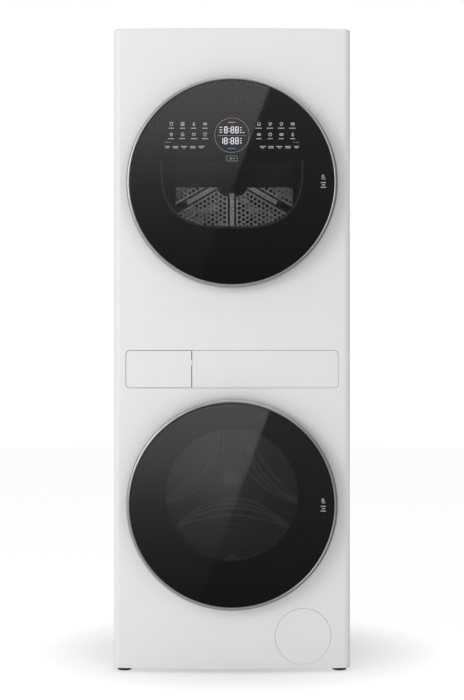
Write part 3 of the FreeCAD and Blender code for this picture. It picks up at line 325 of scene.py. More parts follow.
def mesh_of(name, vertices, faces):
    mesh = bpy.data.meshes.new(name)
    mesh.from_pydata([tuple(v) for v in vertices], [], faces)
    mesh.validate()
    mesh.update()
    return mesh


def polar(angle, radius, cx=0.0, cz=0.0):
    return cx + radius * math.cos(angle), cz + radius * math.sin(angle)


def arc(centre, radius, start, end, steps):
    """Points (radius, depth) along an arc of a lathe profile, angles in degrees."""
    turns = [math.radians(start + (end - start) * k / steps) for k in range(steps + 1)]
    return [polar(turn, radius, *centre) for turn in turns]


def lathe_mesh(name, profile, x, z, segments=192, closed=True):
    """Turns a profile of (radius, y) about the line through (x, z) along Y."""
    vertices = []
    rings = []
    for radius, y in profile:
        if radius < 1e-7:
            rings.append([len(vertices)] * segments)
            vertices.append((x, y, z))
            continue
        start = len(vertices)
        for k in range(segments):
            angle = 2 * math.pi * k / segments
            vertices.append((x + radius * math.cos(angle), y, z + radius * math.sin(angle)))
        rings.append(list(range(start, start + segments)))
    faces = []
    pairs = list(zip(rings, rings[1:] + rings[:1])) if closed else list(zip(rings, rings[1:]))
    for first, second in pairs:
        for k in range(segments):
            n = (k + 1) % segments
            corners = list(dict.fromkeys([first[k], first[n], second[n], second[k]]))
            if len(corners) > 2:
                faces.append(corners)
    return mesh_of(name, vertices, faces)


def flat_shape(name, outlines, y, thickness):
    """Flat plate in the front view: the first outline is its edge, the others are holes."""
    curve = bpy.data.curves.new(name + "_outline", "CURVE")
    curve.dimensions = "2D"
    curve.fill_mode = "BOTH"
    curve.extrude = thickness / 2
    for outline in outlines:
        spline = curve.splines.new("POLY")
        spline.points.add(len(outline) - 1)
        for point, (px, pz) in zip(spline.points, outline):
            point.co = (px, pz, 0.0, 1.0)
        spline.use_cyclic_u = True
    holder = bpy.data.objects.new(name + "_holder", curve)
    bpy.context.scene.collection.objects.link(holder)
    bpy.context.view_layer.update()
    mesh = bpy.data.meshes.new_from_object(holder)
    bpy.data.objects.remove(holder)
    bpy.data.curves.remove(curve)
    for vertex in mesh.vertices:
        px, pz, depth = vertex.co
        vertex.co = (px, y - depth, pz)
    mesh.flip_normals()
    mesh.name = name
    return mesh


def joined_mesh(name, meshes):
    """One mesh from several, which are used up."""
    vertices = []
    faces = []
    for mesh in meshes:
        start = len(vertices)
        vertices.extend(tuple(v.co) for v in mesh.vertices)
        faces.extend([start + i for i in face.vertices] for face in mesh.polygons)
        bpy.data.meshes.remove(mesh)
    return mesh_of(name, vertices, faces)


def ribbon(name, points, half_width, y, height, closed=True):
    """Raised bead with a rounded top that follows a line in the front view."""
    section = [(-1.0, 0.0), (-0.7, 0.6), (0.0, 1.0), (0.7, 0.6), (1.0, 0.0)]
    count = len(points)
    vertices = []
    faces = []
    for k, (px, pz) in enumerate(points):
        before = points[k - 1] if closed or k else points[k]
        after = points[(k + 1) % count] if closed or k < count - 1 else points[k]
        along = Vector((after[0] - before[0], after[1] - before[1])).normalized()
        for across, up in section:
            vertices.append((px - along.y * across * half_width, y - up * height,
                             pz + along.x * across * half_width))
    width = len(section)
    for k in range(count if closed else count - 1):
        n = (k + 1) % count
        for s in range(width - 1):
            faces.append([k * width + s, n * width + s, n * width + s + 1, k * width + s + 1])
    return mesh_of(name, vertices, faces)


def circle(cx, cz, radius, steps=48):
    return [polar(2 * math.pi * k / steps, radius, cx, cz) for k in range(steps)]


def rounded(cx, cz, width, height, radius, steps=6):
    """Outline of a rectangle with rounded corners, anticlockwise in the front view."""
    points = []
    for sx, sz, start in ((1, 1, 0), (-1, 1, 90), (-1, -1, 180), (1, -1, 270)):
        corner = (cx + sx * (width / 2 - radius), cz + sz * (height / 2 - radius))
        points += arc(corner, radius, start, start + 90, steps)
    return points


# ---- doors ---------------------------------------------------------------------------
EDGE_R = 1.2 * MM               # ground edge of the glass
PANE_T = 2.4 * MM
BEZEL_ROUND = 7 * MM
BEZEL_WALL = 1.8 * MM
BEZEL_LEAD = 0.6 * MM           # bezel's face starts this far behind the glass
GLASS_GAP = 0.5 * MM
HINGE_NOTCH_HALF = 13.5 * MM
HINGE_NOTCH_DEPTH = 11 * MM     # notch starts this far behind the glass's face


def bezel(machine):
    """Satin ring: a narrow rounded face sloping outward, then a thin wall back to the cabinet."""
    front = GLASS_FRONT + BEZEL_LEAD
    inner = GLASS_R + GLASS_GAP
    wall_inner = RING_R - BEZEL_WALL
    face = arc((RING_R - BEZEL_ROUND, front + BEZEL_ROUND), BEZEL_ROUND, -112, 0, 10)
    profile = [(inner, GLASS_BACK), (inner, front + 1.4 * MM), (inner + 0.5 * MM, front + 0.9 * MM)]
    profile += [(r, y) for r, y in face if r > inner + 0.6 * MM]
    profile += [(RING_R, RING_BACK - 0.6 * MM), (RING_R - 0.6 * MM, RING_BACK), (wall_inner, RING_BACK),
                (wall_inner, GLASS_BACK)]
    name = machine + "_bezel"
    mesh = lathe_mesh(name, profile, GLASS[machine].x, GLASS[machine].z, 256)
    new_object(name, with_hinge_notch(mesh, GLASS[machine].z), "satin_bezel", machine + "_door",
               (machine + "_door_ring",), angle=50)


def with_hinge_notch(mesh, door_z):
    """Opens the bezel's wall where the fixed hinge arm passes."""
    keep = []
    for face in mesh.polygons:
        centre = face.center
        in_wall = centre.x < 0 and centre.y > GLASS_FRONT + HINGE_NOTCH_DEPTH
        if not (in_wall and abs(centre.z - door_z) < HINGE_NOTCH_HALF):
            keep.append(list(face.vertices))
    return mesh_of(mesh.name, [vertex.co for vertex in mesh.vertices], keep)


def door_pane(machine):
    """Tinted glass disc with a softly ground edge; a ring near the edge keeps its faces flat."""
    shoulder = GLASS_R - EDGE_R
    back = GLASS_FRONT + PANE_T
    profile = [(0, GLASS_FRONT), (shoulder - 1 * MM, GLASS_FRONT)]
    profile += arc((shoulder, GLASS_FRONT + EDGE_R), EDGE_R, -90, 0, 5)
    profile += [(GLASS_R, back - 0.4 * MM), (GLASS_R - 0.4 * MM, back), (GLASS_R - 2 * MM, back), (0, back)]
    turned_piece(machine + "_pane", profile, GLASS[machine], 256, "smoked_glass", machine + "_door",
                 (machine + "_door_glass",), closed=False, angle=40)


def superellipse(cx, cz, half_w, half_h, power, steps=64):
    """Lower half of a superellipse, closed by a straight line across its top."""
    points = []
    for k in range(steps + 1):
        c, s = polar(math.pi + math.pi * k / steps, 1.0)
        points.append((cx + half_w * math.copysign(abs(c) ** (2 / power), c),
                       cz + half_h * math.copysign(abs(s) ** (2 / power), s)))
    return points


PRINT_BACK = GLASS_FRONT + 3.4 * MM     # the opaque print lies behind the pane
MASK_R = GLASS_R - 0.3 * MM
MASK_T = 1 * MM
TINT_T = 0.6 * MM
WINDOW_TOP = GLASS[DRYER].z + 53.8 * MM
WINDOW_HALF_W = 180 * MM
WINDOW_DEPTH = 170.6 * MM
BAND_BOTTOM = GLASS[DRYER].z - 13.8 * MM
WASHER_PORT_R = 190 * MM
RIM_W, RIM_H = 6 * MM, 5 * MM           # rim of the upper window, at its sides and at its bottom
THROAT_SHIFT = 5.5 * MM                 # frame behind the window, a little right of the glass's middle
THROAT_HALF_W, THROAT_DEPTH = 148.5 * MM, 195 * MM


def dryer_print():
    """Opaque print on the back of the upper glass, with the window, its rim and its smoked band."""
    cx, cz = GLASS[DRYER].x, GLASS[DRYER].z
    window = superellipse(cx, WINDOW_TOP, WINDOW_HALF_W, WINDOW_DEPTH, 3.0)
    flat_piece("dryer_mask", [circle(cx, cz, MASK_R, 160), window], PRINT_BACK, MASK_T, "printed_black",
               "dryer_door")
    inner = superellipse(cx, WINDOW_TOP, WINDOW_HALF_W - RIM_W, WINDOW_DEPTH - RIM_H, 3.0)
    rim = rim_mesh("dryer_window_rim", window, inner, PRINT_BACK - 0.7 * MM, PRINT_BACK + 6 * MM)
    new_object("dryer_window_rim", rim, "window_rim", "dryer_door")
    left, right = cx - WINDOW_HALF_W, cx + WINDOW_HALF_W
    band = [(left, WINDOW_TOP), (left, BAND_BOTTOM), (right, BAND_BOTTOM), (right, WINDOW_TOP)]
    flat_piece("dryer_smoked_band", [band], PRINT_BACK + 1.4 * MM, TINT_T, "smoked_band", "dryer_door")
    throat = superellipse(cx + THROAT_SHIFT, WINDOW_TOP, THROAT_HALF_W, THROAT_DEPTH, 7.0)
    plug_back = depths("dryer_door_window")[1]
    flat_piece("dryer_plug_frame", [circle(cx, cz, 186 * MM, 96), throat], plug_back - 6 * MM, 1.2 * MM,
               "printed_black", "dryer_door")


def rim_mesh(name, outer, inner, y0, y1):
    """Thin wall between two open outlines of the same length, from depth y0 to y1."""
    count = len(outer)
    vertices = []
    for outline, y in ((outer, y0), (inner, y0), (inner, y1), (outer, y1)):
        vertices.extend((px, y, pz) for px, pz in outline)
    faces = []
    for ring in range(4):
        first = ring * count
        second = ((ring + 1) % 4) * count
        for k in range(count - 1):
            faces.append([first + k, first + k + 1, second + k + 1, second + k])
    for k in (0, count - 1):
        faces.append([k, count + k, 2 * count + k, 3 * count + k])
    return mesh_of(name, vertices, faces)


def washer_print():
    """Dark border print on the back of the lower glass, and the tint of its round port."""
    disc = circle(GLASS[WASHER].x, GLASS[WASHER].z, MASK_R, 160)
    port = circle(WASHER_AXIS.x, WASHER_AXIS.z, WASHER_PORT_R, 128)
    flat_piece("washer_mask", [disc, port], PRINT_BACK, MASK_T, "printed_black", "washer_door")
    tint = circle(WASHER_AXIS.x, WASHER_AXIS.z, WASHER_PORT_R + 2 * MM, 128)
    flat_piece("washer_tint", [tint], PRINT_BACK + 1.2 * MM, TINT_T, "washer_tint", "washer_door")


def washer_bowl():
    """Pressed glass bowl behind the lower glass: a flange, a sloping wall and a rounded end."""
    rim_r = radius_of("washer_door_bowl")
    front, end = depths("washer_door_bowl")
    thick = 4 * MM
    throat_y, shoulder_y = end - 59 * MM, end - 23 * MM
    outer = [(rim_r, front), (rim_r, front + thick), (158 * MM, front + thick), (150 * MM, throat_y),
             (143 * MM, shoulder_y)]
    outer += arc((118 * MM, end - 29 * MM), 25 * MM, 10, 80, 8)
    outer += [(60 * MM, end - 1 * MM), (0, end)]
    inner = [(0, end - thick), (60 * MM, end - 1 * MM - thick)]
    inner += arc((116 * MM, end - 33 * MM), 22 * MM, 80, 10, 8)
    inner += [(145 * MM, throat_y), (153 * MM, front)]
    turned_piece("washer_bowl", outer + inner, WASHER_AXIS, 160, "bowl_glass", "washer_door",
                 ("washer_door_bowl",))


def dryer_plug():
    """Clear moulded plug on the back of the upper door."""
    rim_r = radius_of("dryer_door_window")
    front, end = depths("dryer_door_window")
    outer = [(rim_r, front), (rim_r, front + 4 * MM), (185 * MM, front + 4 * MM)]
    outer += arc((164 * MM, end - 8 * MM), 8 * MM, 10, 90, 6) + [(0, end)]
    inner = [(0, end - 3 * MM)] + arc((161 * MM, end - 9 * MM), 6 * MM, 90, 10, 6) + [(182 * MM, front)]
    turned_piece("dryer_plug", outer + inner, GLASS[DRYER], 160, "clear_window", "dryer_door",
                 ("dryer_door_window",))


for machine_name in (DRYER, WASHER):
    bezel(machine_name)
    door_pane(machine_name)
dryer_print()
washer_print()
washer_bowl()
dryer_plug()


# ---- dryer rear wall -----------------------------------------------------------------
GRILLE_Z = DRYER_AXIS.z + 2 * MM
SPOKE_HALF = 12.4 * MM         # from a spoke's middle to the petal's edge
PETAL_IN, PETAL_OUT = 58 * MM, 205 * MM
FIRST_ROW = 21.2 * MM          # first line of holes, from the middle of a spoke
HOLE_PITCH = 13.1 * MM
HOLE_R = 5.1 * MM
SIXTH = math.radians(60)


def shifted(points, cx, cz):
    return [(px + cx, pz + cz) for px, pz in points]


def petal_outline(middle_angle, inner, outer, half):
    """Sector between two spokes: arcs at both ends, straight sides parallel to the spokes."""
    side_out = math.asin(half / outer)
    side_in = math.asin(half / inner)
    start, end = middle_angle - SIXTH / 2, middle_angle + SIXTH / 2
    points = [polar(start + side_out + (SIXTH - 2 * side_out) * k / 20, outer) for k in range(21)]
    points += [polar(end - side_in - (SIXTH - 2 * side_in) * k / 12, inner) for k in range(13)]
    return points


def petal_holes(middle_angle):
    """Staggered holes in lines parallel to both sides of the petal."""
    first = FIRST_ROW / math.sin(SIXTH / 2)
    ox, oz = polar(middle_angle, first)
    ux, uz = polar(middle_angle - SIXTH / 2, HOLE_PITCH)
    vx, vz = polar(middle_angle + SIXTH / 2, HOLE_PITCH)
    holes = []
    for i in range(16):
        for j in range(16):
            hx, hz = ox + i * ux + j * vx, oz + i * uz + j * vz
            if i + j > 1 and math.hypot(hx, hz) < PETAL_OUT - HOLE_R - 2 * MM:
                holes.append((hx, hz))
    return holes


def petal_edge_line(middle_angle):
    """Line of the pressed edge round a petal, with a rounded corner towards the hub."""
    corner_r = 16 * MM
    half = SPOKE_HALF - 2 * MM
    reach = (half + corner_r) / math.sin(SIXTH / 2)
    bx, bz = polar(middle_angle, reach)
    points = [polar(middle_angle - SIXTH / 2 + math.asin(half / PETAL_OUT), PETAL_OUT)]
    for k in range(13):
        turn = middle_angle - SIXTH / 2 - math.pi / 2 - (math.pi - SIXTH) * k / 12
        points.append(polar(turn, corner_r, bx, bz))
    points.append(polar(middle_angle + SIXTH / 2 - math.asin(half / PETAL_OUT), PETAL_OUT))
    return points


BAR_MIDDLE = 97.5 * MM         # from the hub's middle
BAR_LENGTH, BAR_WIDTH, BAR_CORNER = 101 * MM, 12.5 * MM, 2 * MM
PETAL_T = 1.2 * MM
BAR_T = 4 * MM
WALL_R = 262 * MM


def spoke_bar(angle, cx, cz):
    """Outline of the pale bar that lies along a spoke."""
    ux, uz = polar(angle, 1.0)
    return [(cx + along * ux - across * uz, cz + along * uz + across * ux)
            for along, across in rounded(BAR_MIDDLE, 0, BAR_LENGTH, BAR_WIDTH, BAR_CORNER, 3)]


def dryer_rear_grille():
    """Perforated petals, their pressed edges drawn as near-black lines of painted crease shade, dark spokes
    and pale bars before the rear wall.
    """
    centre = Vector((DRYER_AXIS.x, 0, GRILLE_Z))
    cx, cz = centre.x, centre.z
    petals = []
    bars = []
    lines = []
    for k in range(6):
        middle_angle = SIXTH * k
        outlines = [shifted(petal_outline(middle_angle, PETAL_IN, PETAL_OUT, SPOKE_HALF), cx, cz)]
        outlines += [circle(cx + hx, cz + hz, HOLE_R, 14) for hx, hz in petal_holes(middle_angle)]
        petals.append(flat_shape("petal", outlines, REAR_WALL_Y - 1.6 * MM, PETAL_T))
        line = shifted(petal_edge_line(middle_angle), cx, cz)
        lines.append(ribbon("line", line, 0.9 * MM, REAR_WALL_Y, 2.4 * MM, closed=False))
        bar_outline = spoke_bar(middle_angle + SIXTH / 2, cx, cz)
        bars.append(flat_shape("bar", [bar_outline], REAR_WALL_Y - BAR_T, BAR_T))
    joined_piece("dryer_grille_petals", petals, "grille_light", "cabinet")
    joined_piece("dryer_grille_bars", bars, "grille_light", "cabinet")
    # painted shade along the petals' pressed edges
    new_object("dryer_grille_edges", joined_mesh("dryer_grille_edges", lines), "grille_crease_painted_shade", "cabinet",
               angle=80)
    hub_y = REAR_WALL_Y - 7 * MM
    hub_profile = [(0, hub_y), (20 * MM, hub_y), (27 * MM, hub_y + 3 * MM), (30 * MM, REAR_WALL_Y),
                   (0, REAR_WALL_Y)]
    turned_piece("dryer_grille_hub", hub_profile, centre, 64, "grille_dark", "cabinet", closed=False)
    bead_y = REAR_WALL_Y - 4 * MM
    back_y = REAR_WALL_Y + 2.5 * MM
    back_profile = [(0, REAR_WALL_Y), (PETAL_OUT + 4 * MM, REAR_WALL_Y), (PETAL_OUT + 7 * MM, bead_y),
                    (PETAL_OUT + 12 * MM, bead_y), (PETAL_OUT + 15 * MM, REAR_WALL_Y),
                    (WALL_R, REAR_WALL_Y), (WALL_R, back_y), (0, back_y)]
    turned_piece("dryer_rear_wall", back_profile, centre, 128, "grille_dark", "cabinet")


# ---- washer drum ---------------------------------------------------------------------
def holed_cell(point, faces, middle, half, hole):
    """Plate round an eight-sided hole; point turns a place in the plate into a vertex's number."""
    square = []
    rim = []
    for k in range(8):
        c, s = polar(math.pi / 4 * k, 1.0)
        reach = 1 / max(abs(c), abs(s))
        square.append(point(middle[0] + half[0] * c * reach, middle[1] + half[1] * s * reach))
        rim.append(point(middle[0] + hole[0] * c, middle[1] + hole[1] * s))
    for k in range(8):
        n = (k + 1) % 8
        faces.append([square[k], rim[k], rim[n], square[n]])


def perforated_barrel(name, radius, y0, y1, margin, pitch, hole_r, x, z):
    """Drum wall with a staggered grid of round holes and plain bands at its ends."""
    columns = 2 * int(math.pi * radius / pitch)
    rows = int((y1 - y0 - 2 * margin) / pitch)
    step_y = (y1 - y0 - 2 * margin) / rows
    step_a = 2 * math.pi / columns
    vertices = []
    faces = []

    def wall_point(angle, y):
        px, pz = polar(angle, radius, x, z)
        vertices.append((px, y, pz))
        return len(vertices) - 1

    for row in range(rows):
        for column in range(columns):
            middle_of_cell = ((column + 0.5 * (row % 2)) * step_a, y0 + margin + (row + 0.5) * step_y)
            holed_cell(wall_point, faces, middle_of_cell, (step_a / 2, step_y / 2),
                       (hole_r / radius, hole_r))
    for start, end in ((y0, y0 + margin), (y1 - margin, y1)):
        ring = [(wall_point(step_a * k, start), wall_point(step_a * k, end)) for k in range(columns)]
        for k in range(columns):
            n = (k + 1) % columns
            faces.append([ring[k][0], ring[k][1], ring[n][1], ring[n][0]])
    return mesh_of(name, vertices, faces)


def star_outline(reach, waist, steps=20):
    """Three-armed star with hollow sides, arms at the top, lower left and lower right."""
    points = []
    arm_half, third = math.radians(10), math.radians(120)
    for arm in range(3):
        angle = math.radians(90) + third * arm
        tip_a = Vector(polar(angle + arm_half, reach))
        tip_b = Vector(polar(angle + third - arm_half, reach))
        control = 2 * Vector(polar(angle + third / 2, waist)) - (tip_a + tip_b) / 2
        points += [polar(angle - arm_half + arm_half * 2 * k / 3, reach) for k in range(3)]
        for k in range(steps + 1):
            t = k / steps
            points.append(tuple((1 - t) ** 2 * tip_a + 2 * t * (1 - t) * control + t * t * tip_b))
    return points


def perforated_disc(name, x, z, y, inner, outer, row_step, pitch, hole_r):
    """Flat ring with concentric rows of holes, and a plain middle."""
    vertices = []
    faces = []

    def disc_point(angle, radius):
        px, pz = polar(angle, radius, x, z)
        vertices.append((px, y, pz))
        return len(vertices) - 1

    for row in range(int((outer - inner) / row_step)):
        mid_r = inner + (row + 0.5) * row_step
        columns = int(2 * math.pi * mid_r / pitch)
        step_a = 2 * math.pi / columns
        for column in range(columns):
            middle_of_cell = ((column + 0.5 * (row % 2)) * step_a, mid_r)
            holed_cell(disc_point, faces, middle_of_cell, (step_a / 2, row_step / 2),
                       (hole_r / mid_r, hole_r))
    faces.append([disc_point(2 * math.pi * k / 96, inner + 0.5 * row_step) for k in range(96)])
    return mesh_of(name, vertices, faces)


STAR_REACH = 224 * MM
STAR_WAIST = 54 * MM


BEAD_WAISTS = (STAR_WAIST, 70 * MM, 84 * MM, 103 * MM)
BEAD_HALF_W, BEAD_HEIGHT = 3 * MM, 5 * MM
PLATE_INNER, PLATE_OUTER = 86 * MM, STAR_REACH + 2 * MM
PLATE_ROWS, PLATE_PITCH, PLATE_HOLE_R = 14 * MM, 11 * MM, 2.9 * MM
PLATE_IN, STAR_IN, SHEET_IN = 3 * MM, 8 * MM, 0.4 * MM      # distances from the drum's rear end
WALL_BAND, WALL_PITCH, WALL_HOLE_R = 10 * MM, 15 * MM, 3 * MM
MOUTH_R = 182 * MM


def drum_shell():
    """Perforated wall with the rolled rim of the mouth and the rounded rear corner."""
    x, z = WASHER_AXIS.x, WASHER_AXIS.z
    front, back = WASHER_DRUM_Y
    wall_r = WASHER_DRUM_R - 0.6 * MM
    wall_front, wall_back = front + 22 * MM, back - 14 * MM
    barrel = perforated_barrel("barrel", wall_r, wall_front, wall_back, WALL_BAND, WALL_PITCH, WALL_HOLE_R,
                               x, z)
    rim_profile = [(MOUTH_R + 1 * MM, front)]
    rim_profile += arc((MOUTH_R + 7 * MM, front + 8 * MM), 7 * MM, 180, 90, 6)
    rim_profile += [(210 * MM, front + 12 * MM)]
    rim_profile += arc((wall_r - 9 * MM, wall_front), 9 * MM, -90, 0, 6)
    rim = lathe_mesh("rim", rim_profile, x, z, closed=False)
    corner_profile = arc((wall_r - 11 * MM, wall_back), 11 * MM, 0, 90, 6)
    corner_profile += [(PLATE_OUTER, back - PLATE_IN)]
    corner = lathe_mesh("corner", corner_profile, x, z, closed=False)
    new_object("washer_drum_shell", joined_mesh("washer_drum_shell", [barrel, rim, corner]),
               "stainless", "washer_drum_body", ("washer_drum",), angle=40)


def drum_floor():
    """Perforated plate, a near-black sheet of painted shade behind its holes, the star, its beads and the
    hub's cap; plate and star are darker copies of the drum's steel as painted shade, the beads a brighter
    copy as painted highlight.
    """
    x, z = WASHER_AXIS.x, WASHER_AXIS.z
    back = WASHER_DRUM_Y[1]
    plate_y = back - PLATE_IN
    star_y = back - STAR_IN
    floor = perforated_disc("floor", x, z, plate_y, PLATE_INNER, PLATE_OUTER, PLATE_ROWS, PLATE_PITCH,
                            PLATE_HOLE_R)
    new_object("washer_drum_floor", floor, "drum_floor", "washer_drum_body", smooth=False)
    sheet_y = back - SHEET_IN
    # painted shade: a near-black sheet just behind the rear plate, so its holes read dark
    turned_piece("washer_drum_painted_shade_sheet", [(0, sheet_y), (WASHER_DRUM_R - 8 * MM, sheet_y)], WASHER_AXIS, 96,
                 "grille_dark", "washer_drum_body", closed=False)
    flat_piece("washer_drum_star", [shifted(star_outline(STAR_REACH, STAR_WAIST), x, z)], star_y, STAR_IN,
               "drum_plate_painted_shade", "washer_drum_body")
    beads = []
    for waist in BEAD_WAISTS:
        base_y = star_y - 3 * MM if waist == STAR_WAIST else plate_y
        line = shifted(star_outline(STAR_REACH, waist), x, z)
        beads.append(ribbon("bead", line, BEAD_HALF_W, base_y, BEAD_HEIGHT))
    new_object("washer_drum_beads", joined_mesh("washer_drum_beads", beads), "drum_bead",
               "washer_drum_body", angle=80)
    cap = [(0, star_y - 10 * MM), (18 * MM, star_y - 9.4 * MM), (23 * MM, star_y - 7 * MM),
           (25 * MM, star_y - 3 * MM)]
    turned_piece("washer_hub_cap", cap, WASHER_AXIS, 64, "hub_plastic", "washer_drum_body", closed=False)


PADDLE_RISE = 50 * MM
PADDLE_HALF_W = 40 * MM
PADDLE_SECTIONS, PADDLE_AROUND = 25, 15     # points along a lifter and across it


def paddle_mesh(centre_angle):
    """One lifter: a hump across the drum's wall that swells from both ends."""
    foot_r = WASHER_DRUM_R - 1.5 * MM
    front, back = depths("washer_lifters")
    vertices = []
    faces = []
    for i in range(PADDLE_SECTIONS):
        t = i / (PADDLE_SECTIONS - 1)
        swell = math.sin(math.pi * t * 0.94 + 0.1) ** 0.35
        for j in range(PADDLE_AROUND):
            across = -1 + 2 * j / (PADDLE_AROUND - 1)
            lift = (1 - abs(across) ** 2.4) ** 0.9 * swell
            offset = across * PADDLE_HALF_W * (1 - 0.15 * lift) / foot_r
            px, pz = polar(centre_angle + offset, foot_r - PADDLE_RISE * lift, WASHER_AXIS.x, WASHER_AXIS.z)
            vertices.append((px, front + (back - front) * t, pz))
    for i in range(PADDLE_SECTIONS - 1):
        for j in range(PADDLE_AROUND - 1):
            a = i * PADDLE_AROUND + j
            faces.append([a, a + 1, a + PADDLE_AROUND + 1, a + PADDLE_AROUND])
    faces.append(list(range(PADDLE_AROUND)))
    faces.append(list(range(len(vertices) - PADDLE_AROUND, len(vertices)))[::-1])
    return mesh_of("paddle", vertices, faces)


def washer_lifters():
    """Three lifters, the first at the bottom."""
    paddles = [paddle_mesh(math.radians(270 + 120 * k)) for k in range(3)]
    new_object("washer_paddles", joined_mesh("washer_paddles", paddles), "tub_plastic", "washer_drum_body",
               ("washer_lifters",), angle=45)


def gasket():
    """Rubber bellows: rounded folds from the cabinet opening back to the tub."""
    front, back = depths("door_gasket")
    profile = [(194 * MM, front), (180 * MM, front + 0.6 * MM)]
    profile += arc((171 * MM, front + 5 * MM), 4 * MM, 270, 90, 8)
    profile += [(174 * MM, front + 15 * MM), (176 * MM, front + 22 * MM), (176.5 * MM, front + 38 * MM)]
    profile += arc((186 * MM, front + 43 * MM), 6 * MM, 225, 300, 6)
    profile += [(195 * MM, front + 46 * MM), (195.5 * MM, back), (199 * MM, back),
                (199 * MM, front + 43 * MM), (186 * MM, front + 41 * MM), (181 * MM, front + 38 * MM),
                (181 * MM, front + 24 * MM), (186 * MM, front + 14 * MM), (194 * MM, front + 12 * MM)]
    turned_piece("washer_gasket", profile, WASHER_AXIS, 192, "gasket_rubber", "cabinet", ("door_gasket",),
                 angle=60)


dryer_rear_grille()
drum_shell()
drum_floor()
washer_lifters()
gasket()


# ---- display and printed marks -------------------------------------------------------
PRINT_Y = GLASS_FRONT - 0.06 * MM
PRINT_T = 0.04 * MM
SEGMENTS = {"1": "bc", "8": "abcdefg"}


def mark(outline, holes=()):
    """Printed patch on the face of the glass."""
    return flat_shape("mark", [outline] + list(holes), PRINT_Y, PRINT_T)


def bar(cx, cz, width, height):
    radius = min(width, height) * 0.3
    return mark(rounded(cx, cz, width, height, radius, 2))


def ring_mark(cx, cz, radius, thickness, steps):
    return mark(circle(cx, cz, radius, steps), [circle(cx, cz, radius - thickness, steps)])


def digit(symbol, cx, cz, width, height, stroke):
    """Seven-segment figure."""
    half_w, half_h = width / 2 - stroke / 2, height / 2 - stroke / 2
    upright = height / 2 - stroke * 1.15
    level = width - stroke * 1.15
    places = {"a": (0, half_h, level, stroke), "d": (0, -half_h, level, stroke),
              "g": (0, 0, level, stroke), "b": (half_w, half_h / 2, stroke, upright),
              "c": (half_w, -half_h / 2, stroke, upright), "e": (-half_w, -half_h / 2, stroke, upright),
              "f": (-half_w, half_h / 2, stroke, upright)}
    return [bar(cx + places[s][0], cz + places[s][1], places[s][2], places[s][3])
            for s in SEGMENTS[symbol]]


CELL_SHARE = {":": 0.45, "1": 0.5}      # narrow signs take this share of a full digit's cell
STROKE = 1.9 * MM


def figures(text, x0, x1, z0, z1):
    """A row of digits with a colon, fitted between x0 and x1."""
    shares = [CELL_SHARE.get(sign, 1.0) for sign in text]
    cell = (x1 - x0) / sum(shares)
    height, cz = z1 - z0, (z0 + z1) / 2
    marks = []
    cursor = x0
    for sign, share in zip(text, shares):
        width = cell * share
        cx = cursor + width / 2
        if sign == ":":
            marks += [mark(circle(cx, z0 + height * f, 1.2 * MM, 12)) for f in (0.3, 0.7)]
        elif sign == "1":
            marks += digit(sign, cursor + width - cell * 0.42, cz, cell * 0.7, height, STROKE)
        else:
            marks += digit(sign, cx, cz, cell * 0.76, height, STROKE)
        cursor += width
    return marks


def blob(cx, cz, size, lobes, depth, turn):
    """Rounded generic pictogram outline with a given number of lobes."""
    points = []
    for k in range(40):
        angle = 2 * math.pi * k / 40
        points.append(polar(angle, size * (1 - depth + depth * math.cos(lobes * (angle - turn))), cx, cz))
    return points


def drop(cx, cz, size):
    """Outline of a water drop, point upward."""
    points = []
    for k in range(32):
        t = 2 * math.pi * k / 32
        points.append((cx + size * 0.62 * math.sin(t) * math.sin(t / 2) ** 1.2, cz + size * math.cos(t)))
    return points[::-1]


SHIRT = [(-0.35, 0.9), (0.35, 0.9), (1.0, 0.55), (0.8, 0.05), (0.5, 0.2), (0.5, -0.9), (-0.5, -0.9),
         (-0.5, 0.2), (-0.8, 0.05), (-1.0, 0.55)]
TROUSERS = [(-0.6, 0.9), (0.6, 0.9), (0.75, -0.9), (0.2, -0.9), (0.0, 0.2), (-0.2, -0.9), (-0.75, -0.9)]
HEART = [(0.0, 0.35), (0.3, 0.75), (0.75, 0.75), (0.95, 0.3), (0.6, -0.3), (0.0, -0.85), (-0.6, -0.3),
         (-0.95, 0.3), (-0.75, 0.75), (-0.3, 0.75)]
LINE = 1.1 * MM


def outlined(points):
    """Line drawing of a closed outline."""
    return stroke_mark(points + points[:1])


def stroke_mark(points):
    """Flat line of constant width through the points."""
    left = []
    right = []
    count = len(points)
    for k, (px, pz) in enumerate(points):
        before = points[max(0, k - 1)]
        after = points[min(count - 1, k + 1)]
        if points[0] == points[-1] and k in (0, count - 1):
            before, after = points[-2], points[1]
        along = Vector((after[0] - before[0], after[1] - before[1])).normalized()
        left.append((px - along.y * LINE / 2, pz + along.x * LINE / 2))
        right.append((px + along.y * LINE / 2, pz - along.x * LINE / 2))
    vertices = [(px, PRINT_Y - PRINT_T / 2, pz) for px, pz in left + right]
    faces = [[k, k + 1, count + k + 1, count + k] for k in range(count - 1)]
    return mesh_of("stroke", vertices, faces)


def scaled(points, cx, cz, size):
    return [(cx + px * size, cz + pz * size) for px, pz in points]


